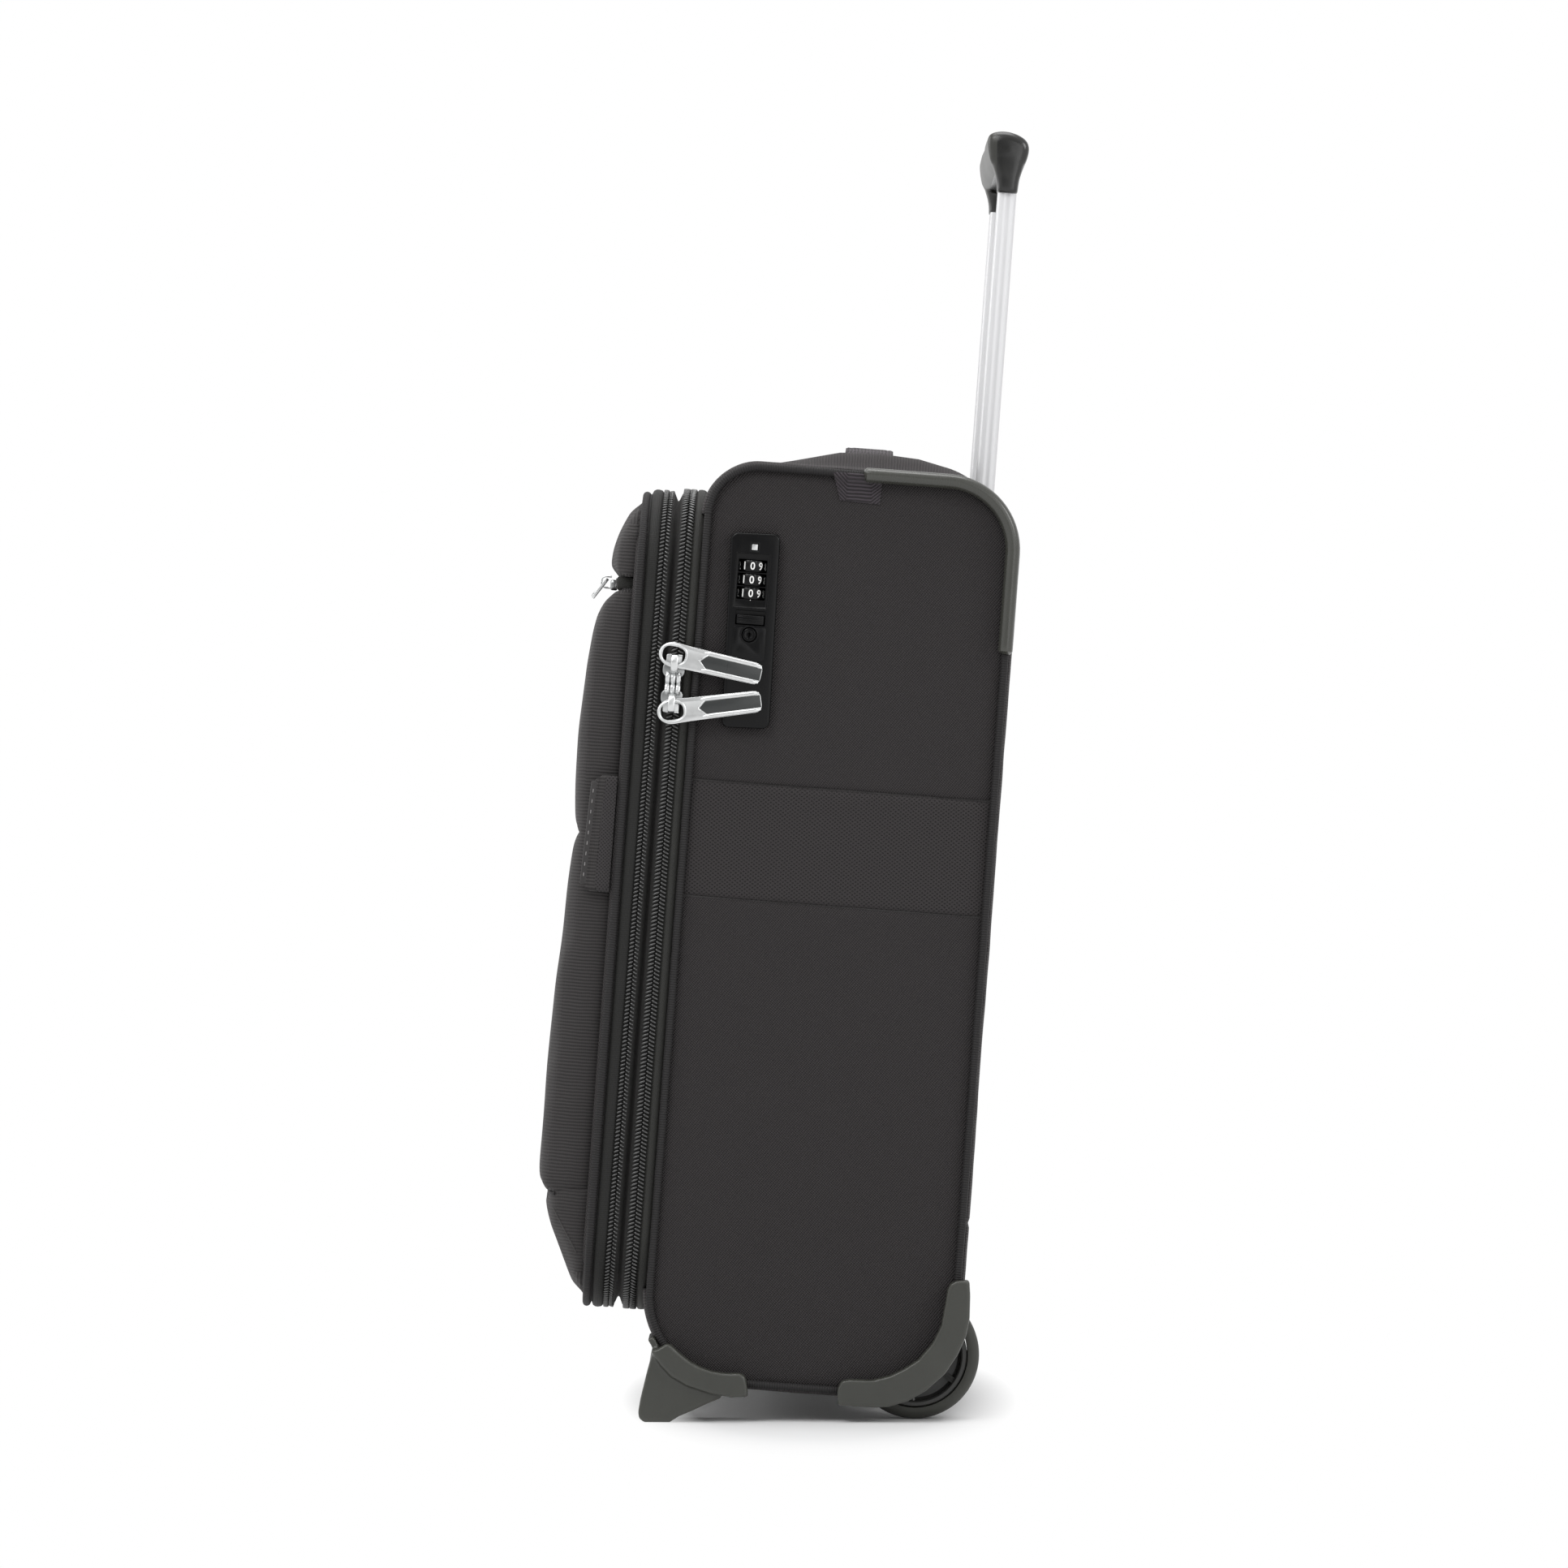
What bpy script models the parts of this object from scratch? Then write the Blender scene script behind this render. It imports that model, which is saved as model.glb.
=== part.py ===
# Softside upright suitcase with two wheels, two front feet, a zipped and expandable front lid,
# a zip lock on the right side (x > 0) and a telescopic handle.
# Pieces are drawn in the upright case frame: x across, y depth (y < 0 is the front), z up.
# The whole frame then leans back by LEAN, because the feet are longer than the wheels.
import math

import bmesh
import bpy
from mathutils import Matrix, Vector

# ---------------------------------------------------------------- driving dimensions (metres)
LEAN = math.radians(4.3)
GAP = 0.0003                    # clearance between neighbouring pieces
SIDES = (1, -1)                 # right, left

# Main case
SIDE_X = 0.190                  # outer face of the side panels
PANEL_THICK = 0.0055            # padded side panel
SKIN_THICK = 0.004              # padded gusset panels
INNER_X = SIDE_X - PANEL_THICK - 2 * GAP    # the gusset panels end inside the side panels
HALF_DEPTH = 0.0875
BOTTOM, TOP = 0.017, 0.5315
FRONT_TOP_R, BACK_TOP_R, BACK_BOTTOM_R, FRONT_BOTTOM_R = 0.030, 0.040, 0.055, 0.050
PIPE_R, PIPE_X = 0.0028, 0.1933
PIPE_INSET = 0.0015             # piping centreline inside the body outline
GUARD_X = 0.1985                # outer face of the corner guards
SHOE_X = 0.2010                 # outer face of the wheel housings and front feet
SLEEVE_X = SIDE_X + 0.003       # outer end of the parts that wrap under the case

# Lid and zips
LID_HALF_X, LID_BOTTOM, LID_TOP, LID_R = 0.1885, 0.056, 0.510, 0.044
LID_WALL = 0.004
ZIP_BACK = -0.0880              # back of the zip tape on the case
ZIP_JOINT_Y = -0.0979           # joint of the main zip
EXPANSION_Y = -0.1089           # joint of the expansion zip
LID_FRONT = -0.1204             # front of the lid shell
POCKET_HALF_X = 0.1835
POCKET_BACK = LID_FRONT - GAP
LID_MID_Z = (LID_BOTTOM + LID_TOP) / 2
HINGE = (-0.1965, -0.0935, LID_MID_Z)
EXPANSION_ORIGIN = (0, EXPANSION_Y, LID_MID_Z)

# Wheels
WHEEL_R, WHEEL_X, WHEEL_WIDTH = 0.036, 0.166, 0.022
WHEEL_FLOOR_Y, WHEEL_FLOOR_Z = 0.068, 0.036     # centre in the leaning case, before the last shift
WELL_R = 0.0387

# Telescopic handle
TUBE_X, TUBE_Y = 0.085, 0.0697
OUTER_TUBE, MIDDLE_TUBE, INNER_TUBE = (0.0206, 0.0164), (0.0176, 0.0134), (0.0150, 0.0108)
TUBE_CORNER_R, BORE_CORNER_R = 0.0030, 0.0020
GRIP_BOTTOM = 0.700

# Lock
LOCK_Y, LOCK_Z = (-0.0705, -0.0435), (0.3838, 0.4925)
LOCK_FACE = 0.1955
DIAL_X, DIAL_Y, DIAL_R, DIAL_HEIGHT = 0.1877, -0.0585, 0.0076, 0.0066
DIAL_Z = (0.4741, 0.4664, 0.4588)
KEY_Y, KEY_Z = -0.0577, 0.4357
SLIDE_Z = 0.4440

# Zip hardware
SLIDER_Y = -0.0983
SLIDERS = (("upper", 0.4127, 1), ("lower", 0.3982, -1))     # name, z, way the bridge points
PIVOT_Y = -0.0975
PULLER_X = (0.1966, 0.1984)
EXP_SLIDER_Z = 0.112
POCKET_ZIP = (0.100, -0.1348, 0.4598)

# Look: base colour, roughness, metallic
LOOKS = {
    "fabric": ((0.043, 0.036, 0.036), 0.85, 0.0),
    "pocket_fabric": ((0.040, 0.035, 0.034), 0.85, 0.0),
    "webbing": ((0.030, 0.026, 0.030), 0.80, 0.0),
    "zip_tape": ((0.045, 0.044, 0.038), 0.75, 0.0),
    "piping": ((0.040, 0.036, 0.036), 0.70, 0.0),
    "lining": ((0.10, 0.10, 0.11), 0.80, 0.0),
    "moulded": ((0.060, 0.060, 0.052), 0.45, 0.0),
    "gloss": ((0.012, 0.012, 0.012), 0.12, 0.0),
    "lock_black": ((0.022, 0.022, 0.023), 0.35, 0.0),
    "tyre": ((0.030, 0.030, 0.028), 0.60, 0.0),
    "aluminium": ((0.82, 0.82, 0.83), 0.25, 1.0),
    "zinc": ((0.75, 0.76, 0.76), 0.22, 1.0),
    "steel": ((0.55, 0.55, 0.56), 0.30, 1.0),
}
SHARP_ANGLE = math.radians(35)

# ---------------------------------------------------------------- measured side outlines (y, z)
CROWN = [(-0.060, 0.5300), (-0.014, 0.5445), (0.030, 0.5455), (0.0512, 0.5420), (0.0512, 0.5300)]
LINING_OUTER = [
    (-0.0765, 0.508), (-0.0620, 0.521), (0.0460, 0.521), (0.0505, 0.5165), (0.0505, 0.4985),
    (0.0580, 0.4910), (0.0580, 0.045), (0.0420, 0.027), (-0.0300, 0.027), (-0.0640, 0.037),
    (-0.0765, 0.052)]
LINING_INNER = [
    (-0.0900, 0.4945), (-0.0765, 0.5066), (-0.0616, 0.520), (0.0456, 0.520), (0.0495, 0.5161),
    (0.0495, 0.4981), (0.0570, 0.4906), (0.0570, 0.0454), (0.0416, 0.028), (-0.0298, 0.028),
    (-0.0634, 0.0379), (-0.0765, 0.0537), (-0.0900, 0.0699)]
HOUSING_OUTER = [
    (0.0917, 0.0862), (0.0928, 0.0778), (0.0934, 0.0650), (0.0922, 0.0552), (0.0885, 0.0447),
    (0.0820, 0.0332), (0.0719, 0.0228), (0.0627, 0.0166), (0.0521, 0.0126), (0.0448, 0.0117),
    (0.0240, 0.0112)]
HOUSING_INNER = [
    (0.0226, 0.0203), (0.0247, 0.0250), (0.0292, 0.0263), (0.0413, 0.0266), (0.0508, 0.0297),
    (0.0583, 0.0339), (0.0664, 0.0400), (0.0736, 0.0497), (0.0777, 0.0596), (0.0793, 0.0737),
    (0.0797, 0.0800), (0.0812, 0.0838), (0.0849, 0.0857)]
FOOT_FLANGE = [
    (-0.0826, 0.0340), (-0.0764, 0.0262), (-0.0704, 0.0205), (-0.0606, 0.0158),
    (-0.0462, 0.0123), (-0.0360, 0.0113), (-0.0263, 0.0122), (-0.0279, 0.0213),
    (-0.0295, 0.0241), (-0.0318, 0.0251), (-0.0395, 0.0245), (-0.0472, 0.0250),
    (-0.0537, 0.0268), (-0.0602, 0.0297), (-0.0669, 0.0343), (-0.0716, 0.0382),
    (-0.0740, 0.0388), (-0.0787, 0.0352)]
# The foot fin in front of and behind its flat toe
FIN_FRONT = [(-0.0815, 0.0325), (-0.0838, 0.0210), (-0.0862, 0.0067), (-0.0869, -0.0010),
             (-0.0862, -0.0042)]
FIN_BACK = [(-0.0642, -0.0017), (-0.0568, 0.0021), (-0.0495, 0.0063), (-0.0420, 0.0100),
            (-0.0460, 0.0150), (-0.0600, 0.0190)]
TOE_FLOOR_Y = (-0.0838, -0.0690)    # ends of the toe on the floor, before the last shift
WEBBING_TAB = [(-0.0160, 0.5258), (-0.0137, 0.5137), (0.0094, 0.5132), (0.0100, 0.5258)]
BEZEL = [(0.0520, 0.5400), (0.0600, 0.5415), (0.0760, 0.5330), (0.0836, 0.5240),
         (0.0853, 0.5120), (0.0862, 0.5000), (0.0520, 0.5000)]
GRIP = [
    (0.0610, 0.7140), (0.0598, 0.7180), (0.0583, 0.7230), (0.0577, 0.7275), (0.0580, 0.7320),
    (0.0600, 0.7352), (0.0650, 0.7376), (0.0705, 0.7370), (0.0760, 0.7345), (0.0790, 0.7305),
    (0.0798, 0.7260), (0.0791, 0.7195), (0.0779, 0.7140)]
GRIP_LEG = [(0.0643, GRIP_BOTTOM), (0.0632, 0.7080), (0.0620, 0.7200), (0.0780, 0.7200),
            (0.0770, 0.7100), (0.0753, GRIP_BOTTOM)]
LID_BAND = [(-0.1222, 0.2875), (-0.1385, 0.2875), (-0.1365, 0.3505), (-0.1222, 0.3505)]
# Panels on the lid, bottom to top: name, clipped to the rounded lid corners, outline
POCKET_PANELS = (
    ("front_lower_panel", True, [
        (POCKET_BACK, 0.0575), (-0.1250, 0.0580), (-0.1335, 0.0730), (-0.1420, 0.0900),
        (-0.1480, 0.1000), (-0.1505, 0.1083), (POCKET_BACK, 0.1083)]),
    ("pocket_lower", False, [
        (POCKET_BACK, 0.1087), (-0.1545, 0.1087), (-0.1570, 0.1130), (-0.1568, 0.1840),
        (-0.1555, 0.2340), (-0.1530, 0.2620), (-0.1525, 0.2920), (-0.1505, 0.3130),
        (-0.1470, 0.3192), (POCKET_BACK, 0.3192)]),
    ("pocket_upper", False, [
        (POCKET_BACK, 0.3198), (-0.1480, 0.3198), (-0.1515, 0.3360), (-0.1535, 0.3550),
        (-0.1535, 0.3760), (-0.1515, 0.4140), (-0.1490, 0.4340), (-0.1460, 0.4460),
        (-0.1420, 0.4530), (-0.1380, 0.4565), (POCKET_BACK, 0.4565)]),
    ("pocket_top_panel", True, [
        (POCKET_BACK, 0.4630), (-0.1360, 0.4630), (-0.1395, 0.4680), (-0.1408, 0.4760),
        (-0.1400, 0.4870), (-0.1360, 0.4990), (-0.1300, 0.5070), (-0.1250, 0.5090),
        (POCKET_BACK, 0.5092)]),
)

# ---------------------------------------------------------------- scene
for old_object in list(bpy.data.objects):
    bpy.data.objects.remove(old_object, do_unlink=True)
CASE = bpy.data.collections.new("upright_suitcase")
bpy.context.scene.collection.children.link(CASE)
PARTS = []


# ---------------------------------------------------------------- spans and outlines
def around(centre, half):
    return (centre - half, centre + half)


def inset(span, amount):
    return (span[0] + amount, span[1] - amount)


def ordered(start, end):
    return tuple(sorted((start, end)))


def case_point(floor_y, floor_z):
    """(y, z) of the leaning case, before its last shift -> (y, z) of the case frame."""
    sine, cosine = math.sin(LEAN), math.cos(LEAN)
    return (floor_y * cosine - floor_z * sine, floor_y * sine + floor_z * cosine)


WHEEL_YZ = case_point(WHEEL_FLOOR_Y, WHEEL_FLOOR_Z)
WHEEL_CENTRE = (WHEEL_X, *WHEEL_YZ)


def rounded(corners, steps=6):
    """Polygon corners (a, b, radius) -> outline points with each corner turned into an arc."""
    points = []
    for i, corner in enumerate(corners):
        tip, radius = Vector(corner[:2]), corner[2]
        before = (Vector(corners[i - 1][:2]) - tip).normalized()
        after = (Vector(corners[(i + 1) % len(corners)][:2]) - tip).normalized()
        half = before.angle(after) / 2
        centre = tip + (before + after).normalized() * (radius / math.sin(half))
        start = tip + before * (radius / math.tan(half)) - centre
        end = tip + after * (radius / math.tan(half)) - centre
        first = math.atan2(start.y, start.x)
        turn = (math.atan2(end.y, end.x) - first + math.pi) % (2 * math.pi) - math.pi
        for k in range(steps + 1):
            angle = first + turn * k / steps
            points.append((centre.x + radius * math.cos(angle),
                           centre.y + radius * math.sin(angle)))
    return points


def rounded_rect(span_a, span_b, radius, steps):
    (a0, a1), (b0, b1) = span_a, span_b
    return rounded([(a0, b0, radius), (a1, b0, radius), (a1, b1, radius), (a0, b1, radius)],
                   steps)


def circle(centre, radius, steps):
    angles = [2 * math.pi * k / steps for k in range(steps)]
    return [(centre[0] + radius * math.cos(angle), centre[1] + radius * math.sin(angle))
            for angle in angles]


def body_outline(margin=0.0, steps=7):
    """Side outline of the main case (y, z), moved inwards by margin."""
    front, back = inset((-HALF_DEPTH, HALF_DEPTH), margin)
    low, high = inset((BOTTOM, TOP), margin)
    return rounded([(front, high, FRONT_TOP_R - margin), (back, high, BACK_TOP_R - margin),
                    (back, low, BACK_BOTTOM_R - margin),
                    (front, low, FRONT_BOTTOM_R - margin)], steps)


def lid_outline(margin=0.0, steps=6):
    """Front outline of the lid (x, z), moved inwards by margin."""
    return rounded_rect(inset((-LID_HALF_X, LID_HALF_X), margin),
                        inset((LID_BOTTOM, LID_TOP), margin), LID_R - margin, steps)


# Body corners: centre y, centre z, radius
FRONT_TOP = (-HALF_DEPTH + FRONT_TOP_R, TOP - FRONT_TOP_R, FRONT_TOP_R)
BACK_TOP = (HALF_DEPTH - BACK_TOP_R, TOP - BACK_TOP_R, BACK_TOP_R)
BACK_BOTTOM = (HALF_DEPTH - BACK_BOTTOM_R, BOTTOM + BACK_BOTTOM_R, BACK_BOTTOM_R)
FRONT_BOTTOM = (-HALF_DEPTH + FRONT_BOTTOM_R, BOTTOM + FRONT_BOTTOM_R, FRONT_BOTTOM_R)


def corner_arc(corner, margin, start, end, steps=6):
    """Arc at a body corner, moved inwards by margin; start and end in degrees."""
    y, z, radius = corner
    angles = [math.radians(start + (end - start) * k / steps) for k in range(steps + 1)]
    return [(y + (radius - margin) * math.cos(angle), z + (radius - margin) * math.sin(angle))
            for angle in angles]


# ---------------------------------------------------------------- mesh builders
PLANES = {
    "yz": Matrix(((0, 0, 1, 0), (1, 0, 0, 0), (0, 1, 0, 0), (0, 0, 0, 1))),     # extrudes to x
    "xz": Matrix(((1, 0, 0, 0), (0, 0, -1, 0), (0, 1, 0, 0), (0, 0, 0, 1))),    # extrudes to -y
    "xy": Matrix.Identity(4),                                                   # extrudes to z
}


def evaluated_mesh(piece):
    bpy.context.view_layer.update()
    depsgraph = bpy.context.evaluated_depsgraph_get()
    return bpy.data.meshes.new_from_object(piece.evaluated_get(depsgraph))


def weld(mesh):
    work = bmesh.new()
    work.from_mesh(mesh)
    bmesh.ops.remove_doubles(work, verts=work.verts, dist=1e-6)
    bmesh.ops.recalc_face_normals(work, faces=work.faces)
    work.to_mesh(mesh)
    work.free()


def add_object(name, data):
    piece = bpy.data.objects.new(name, data)
    CASE.objects.link(piece)
    return piece


def bake(piece):
    """Apply the modifiers of a piece."""
    mesh = evaluated_mesh(piece)
    old = piece.data
    piece.modifiers.clear()
    piece.data = mesh
    bpy.data.meshes.remove(old)


def new_curve(name, dimensions, loops):
    """A curve of closed straight-sided splines through 3D points."""
    curve = bpy.data.curves.new(name + "_outline", "CURVE")
    curve.dimensions = dimensions
    for loop in loops:
        spline = curve.splines.new("POLY")
        spline.points.add(len(loop) - 1)
        for point, place in zip(spline.points, loop):
            point.co = (*place, 1)
        spline.use_cyclic_u = True
    return curve


def curve_mesh(name, curve, placement=Matrix.Identity(4)):
    """Turn a curve into a placed and welded mesh object."""
    guide = add_object(name + "_guide", curve)
    mesh = evaluated_mesh(guide)
    mesh.transform(placement)
    weld(mesh)
    bpy.data.objects.remove(guide, do_unlink=True)
    return add_object(name, mesh)


def prism(name, loops, plane, span, bevel=0.0, segments=1):
    """An outline, or a list of an outline and its holes, extruded over span."""
    if isinstance(loops[0], tuple):
        loops = [loops]
    curve = new_curve(name, "2D", [[(a, b, 0) for a, b in loop] for loop in loops])
    curve.fill_mode = "BOTH"
    curve.extrude = (span[1] - span[0]) / 2
    middle = (span[0] + span[1]) / 2
    if plane == "xz":
        middle = -middle
    piece = curve_mesh(name, curve, PLANES[plane] @ Matrix.Translation((0, 0, middle)))
    if bevel > 0:
        edge = piece.modifiers.new("edge", "BEVEL")
        edge.width = bevel
        edge.segments = segments
        edge.limit_method = "ANGLE"
        edge.angle_limit = math.radians(50)
        bake(piece)
    return piece


def closed_tube(name, points, radius, resolution=1):
    curve = new_curve(name, "3D", [points])
    curve.bevel_depth = radius
    curve.bevel_resolution = resolution
    return curve_mesh(name, curve)


def box(name, x_span, y_span, z_span, bevel=0.0):
    bpy.ops.mesh.primitive_cube_add(size=1.0)
    piece = bpy.context.active_object
    piece.name = name
    for collection in list(piece.users_collection):
        collection.objects.unlink(piece)
    CASE.objects.link(piece)
    spans = (x_span, y_span, z_span)
    piece.data.transform(Matrix.Translation([(low + high) / 2 for low, high in spans])
                         @ Matrix.Diagonal([high - low for low, high in spans] + [1]))
    if bevel > 0:
        edge = piece.modifiers.new("edge", "BEVEL")
        edge.width = bevel
        edge.segments = 1
        bake(piece)
    return piece


def turned(name, profile, steps):
    """A closed profile (radius, x from the wheel's middle) turned about the right wheel axis."""
    mesh = bpy.data.meshes.new(name)
    count = len(profile)
    mesh.from_pydata([(radius, 0, x) for radius, x in profile],
                     [(i, (i + 1) % count) for i in range(count)], [])
    piece = add_object(name, mesh)
    turn = piece.modifiers.new("turn", "SCREW")
    turn.steps = turn.render_steps = steps
    turn.use_merge_vertices = True
    turn.merge_threshold = 0.00001
    bake(piece)
    piece.data.transform(Matrix.Translation(WHEEL_CENTRE)
                         @ Matrix.Rotation(math.pi / 2, 4, "Y"))
    weld(piece.data)
    return piece


def combine(piece, tool, operation):
    """Boolean of tool into piece; tool is then dropped."""
    boolean = piece.modifiers.new("bool", "BOOLEAN")
    boolean.operation = operation
    boolean.solver = "EXACT"
    boolean.object = tool
    bake(piece)
    bpy.data.objects.remove(tool, do_unlink=True)
    weld(piece.data)


def cut(piece, tool):
    combine(piece, tool, "DIFFERENCE")


def fuse(piece, tool):
    combine(piece, tool, "UNION")


def common(piece, tool):
    combine(piece, tool, "INTERSECT")


# ---------------------------------------------------------------- finishing
def material(name, look):
    colour, roughness, metallic = LOOKS[look]
    result = bpy.data.materials.new("mat_" + name)
    result.use_nodes = True
    shader = result.node_tree.nodes["Principled BSDF"]
    shader.inputs["Base Color"].default_value = (*colour, 1.0)
    shader.inputs["Roughness"].default_value = roughness
    shader.inputs["Metallic"].default_value = metallic
    result.diffuse_color = (*colour, 1.0)
    return result


def done(piece, look, origin=None):
    """Finish a piece: material, shading, and its origin where one is given."""
    mesh = piece.data
    mesh.materials.clear()
    mesh.materials.append(material(piece.name, look))
    mesh.shade_smooth()
    mesh.set_sharp_from_angle(angle=SHARP_ANGLE)
    if origin is not None:
        mesh.transform(Matrix.Translation(-Vector(origin)))
        piece.location = origin
    PARTS.append(piece)


def mirrored(piece, name):
    """A copy of a piece on the other side of the case (x -> -x)."""
    mesh = piece.data.copy()
    mesh.transform(Matrix.Diagonal((-1, 1, 1, 1)))
    mesh.flip_normals()
    return add_object(name, mesh)


def both_sides(right, base, look, origin=None):
    right.name = base + "_right"
    left = mirrored(right, base + "_left")
    done(right, look, origin)
    done(left, look, origin and (-origin[0], origin[1], origin[2]))


# ================================================================ main case
def piping_run(name, radius):
    """The piping path round the right side."""
    points = [(PIPE_X, y, z) for y, z in body_outline(PIPE_INSET)]
    return closed_tube(name, points, radius)


def cut_piping_groove(piece):
    cut(piece, piping_run("cutter", PIPE_R + 0.0004))


def cut_wheel_openings(piece, margin, inner_x, steps):
    for side in SIDES:
        cut(piece, prism("cutter", circle(WHEEL_YZ, WELL_R + margin, steps), "yz",
                         ordered(side * inner_x, side * 0.1995)))


def gusset(name, path):
    """A padded panel between a run of the body outline and the same run inset."""
    return prism(name, path(0.0) + path(SKIN_THICK)[::-1], "yz", around(0, INNER_X))


def top_path(margin):
    return (corner_arc(FRONT_TOP, margin, 180, 90)
            + corner_arc(BACK_TOP, margin, 90, 0, 7))


def bottom_path(margin):
    return (corner_arc(BACK_BOTTOM, margin, 0, -90, 7)
            + corner_arc(FRONT_BOTTOM, margin, -90, -180))


def build_side_panels():
    """Only the right panel has the opening for the lock."""
    right = prism("side_panel", body_outline(GAP), "yz", (SIDE_X - PANEL_THICK, SIDE_X))
    left = mirrored(right, "side_panel_left")
    right.name = "side_panel_right"
    cut(right, box("cutter", (0.17, 0.21), inset(LOCK_Y, 0.0035), inset(LOCK_Z, 0.0035)))
    done(right, "fabric")
    done(left, "fabric")


def build_top_panel():
    """Gusset plus the padded crown under the carry handle, cut away for the handle bezel."""
    top = gusset("top_panel", top_path)
    fuse(top, prism("crown", CROWN, "yz", around(0, 0.135)))
    cut(top, box("cutter", around(0, 0.1125), (0.0517, 0.100), (0.4997, 0.570)))
    done(top, "fabric")


def build_back_and_bottom():
    back = box("back_panel", around(0, INNER_X), (HALF_DEPTH - SKIN_THICK, HALF_DEPTH),
               (BOTTOM + BACK_BOTTOM_R + GAP, TOP - BACK_TOP_R - GAP))
    bottom = gusset("bottom_panel", bottom_path)
    for panel in (back, bottom):
        cut_wheel_openings(panel, margin=0.0034, inner_x=0.1435, steps=28)
        done(panel, "fabric")


def build_front_border():
    """Flat frame round the front opening, and the steel hoop behind it."""
    edge_gap = 0.0004
    low, high = BOTTOM + FRONT_BOTTOM_R + edge_gap, TOP - FRONT_TOP_R - edge_gap
    outer = [(-INNER_X, low), (INNER_X, low), (INNER_X, high), (-INNER_X, high)]
    opening = rounded_rect(around(0, 0.176), (0.077, 0.492), 0.034, 5)
    done(prism("front_border", [outer, opening], "xz", (-HALF_DEPTH, -0.084)), "fabric")

    hoop = rounded_rect(around(0, 0.1795), (0.070, 0.498), 0.032, 5)
    done(closed_tube("front_hoop", [(x, -0.0800, z) for x, z in hoop], 0.0018, 0), "steel")


def build_lining():
    """Thin box inside the case, open at the front."""
    half_x, thick = 0.1755, 0.001
    lining = prism("lining", LINING_OUTER, "yz", around(0, half_x))
    cut(lining, prism("cutter", LINING_INNER, "yz", around(0, half_x - thick)))
    cut_wheel_openings(lining, margin=0.0038, inner_x=0.1430, steps=24)
    done(lining, "lining")


# ================================================================ corners, wheels and feet
def guard_run(margin, shift=0.0):
    """Run round the top back corner; shift moves its front end back and its lower end up."""
    return ([(-0.0005 + shift, TOP - margin)] + corner_arc(BACK_TOP, margin, 90, 0, 8)
            + [(HALF_DEPTH - margin, 0.4355 + shift)])


def build_corner_guards():
    guard = prism("guard", guard_run(-0.0026) + guard_run(0.0054)[::-1], "yz",
                  (SIDE_X + GAP, GUARD_X))
    lip = prism("lip", guard_run(-0.0021, 0.002) + guard_run(-GAP, 0.002)[::-1], "yz",
                (0.178, SIDE_X + 0.0025))
    fuse(guard, lip)
    cut_piping_groove(guard)
    both_sides(guard, "corner_guard", "moulded")


def build_wheel_housings():
    """Side flange, wrap round the bottom back corner, and a round well for the wheel."""
    skin_step = 0.0006          # the wrap lies this far inside the flange outline
    house = prism("house", HOUSING_OUTER + HOUSING_INNER, "yz", (SIDE_X + GAP, SHOE_X),
                  bevel=0.0018, segments=2)
    skin = [(y - skin_step, z + skin_step) for y, z in HOUSING_OUTER[1:-1]]
    wrap = prism("wrap", skin + corner_arc(BACK_BOTTOM, -GAP, -82, 4, 8), "yz",
                 (0.1415, SLEEVE_X))
    well = prism("well", circle(WHEEL_YZ, WELL_R + 0.0030, 28), "yz", (0.1438, 0.1838))
    inside = skin + [(0.040, 0.0140), (0.000, 0.0140), (0.000, 0.100), (0.0925, 0.100)]
    common(well, prism("cutter", inside, "yz", (0.13, 0.20)))
    fuse(wrap, well)
    fuse(house, wrap)
    cut(house, prism("cutter", circle(WHEEL_YZ, WELL_R, 28), "yz", (0.1462, 0.1818)))
    # Room for the edge of the case between the flange and the wrap
    cut(house, prism("cutter", body_outline(-GAP), "yz",
                     (SIDE_X - PANEL_THICK - 0.0006, SIDE_X + GAP)))
    cut_piping_groove(house)
    cut(house, prism("cutter", circle(WHEEL_YZ, 0.0044, 12), "yz", (0.13, 0.1846)))
    both_sides(house, "wheel_housing", "moulded")


def build_wheels():
    axle = prism("axle", circle(WHEEL_YZ, 0.0040, 12), "yz", (0.1440, 0.1840))
    both_sides(axle, "axle", "steel", WHEEL_CENTRE)

    half = WHEEL_WIDTH / 2
    tread, shoulder, bore = WHEEL_R, WHEEL_R - 0.0012, WHEEL_R - 0.0066
    wall = WHEEL_R - 0.0036
    tyre = turned("tyre", [
        (tread, -half + 0.0035), (tread, half - 0.0035), (shoulder, half - 0.0010),
        (wall, half), (bore, half), (bore, -half), (wall, -half),
        (shoulder, -half + 0.0010)], 36)
    both_sides(tyre, "tyre", "tyre", WHEEL_CENTRE)

    rim_r = bore - GAP
    rim_x, web_x, hub_x = half - 0.001, half - 0.0065, half - 0.002
    rim_half = [(rim_r, rim_x), (rim_r - 0.0030, rim_x), (rim_r - 0.0045, web_x),
                (0.0105, web_x), (0.0090, hub_x), (0.0045, hub_x)]
    # The other half runs back from the hub; the profile starts at its outermost point
    other = [(radius, -x) for radius, x in rim_half[::-1]]
    rim = turned("rim", other[-1:] + rim_half + other[:-1], 32)
    both_sides(rim, "wheel_rim", "moulded", WHEEL_CENTRE)


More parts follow.
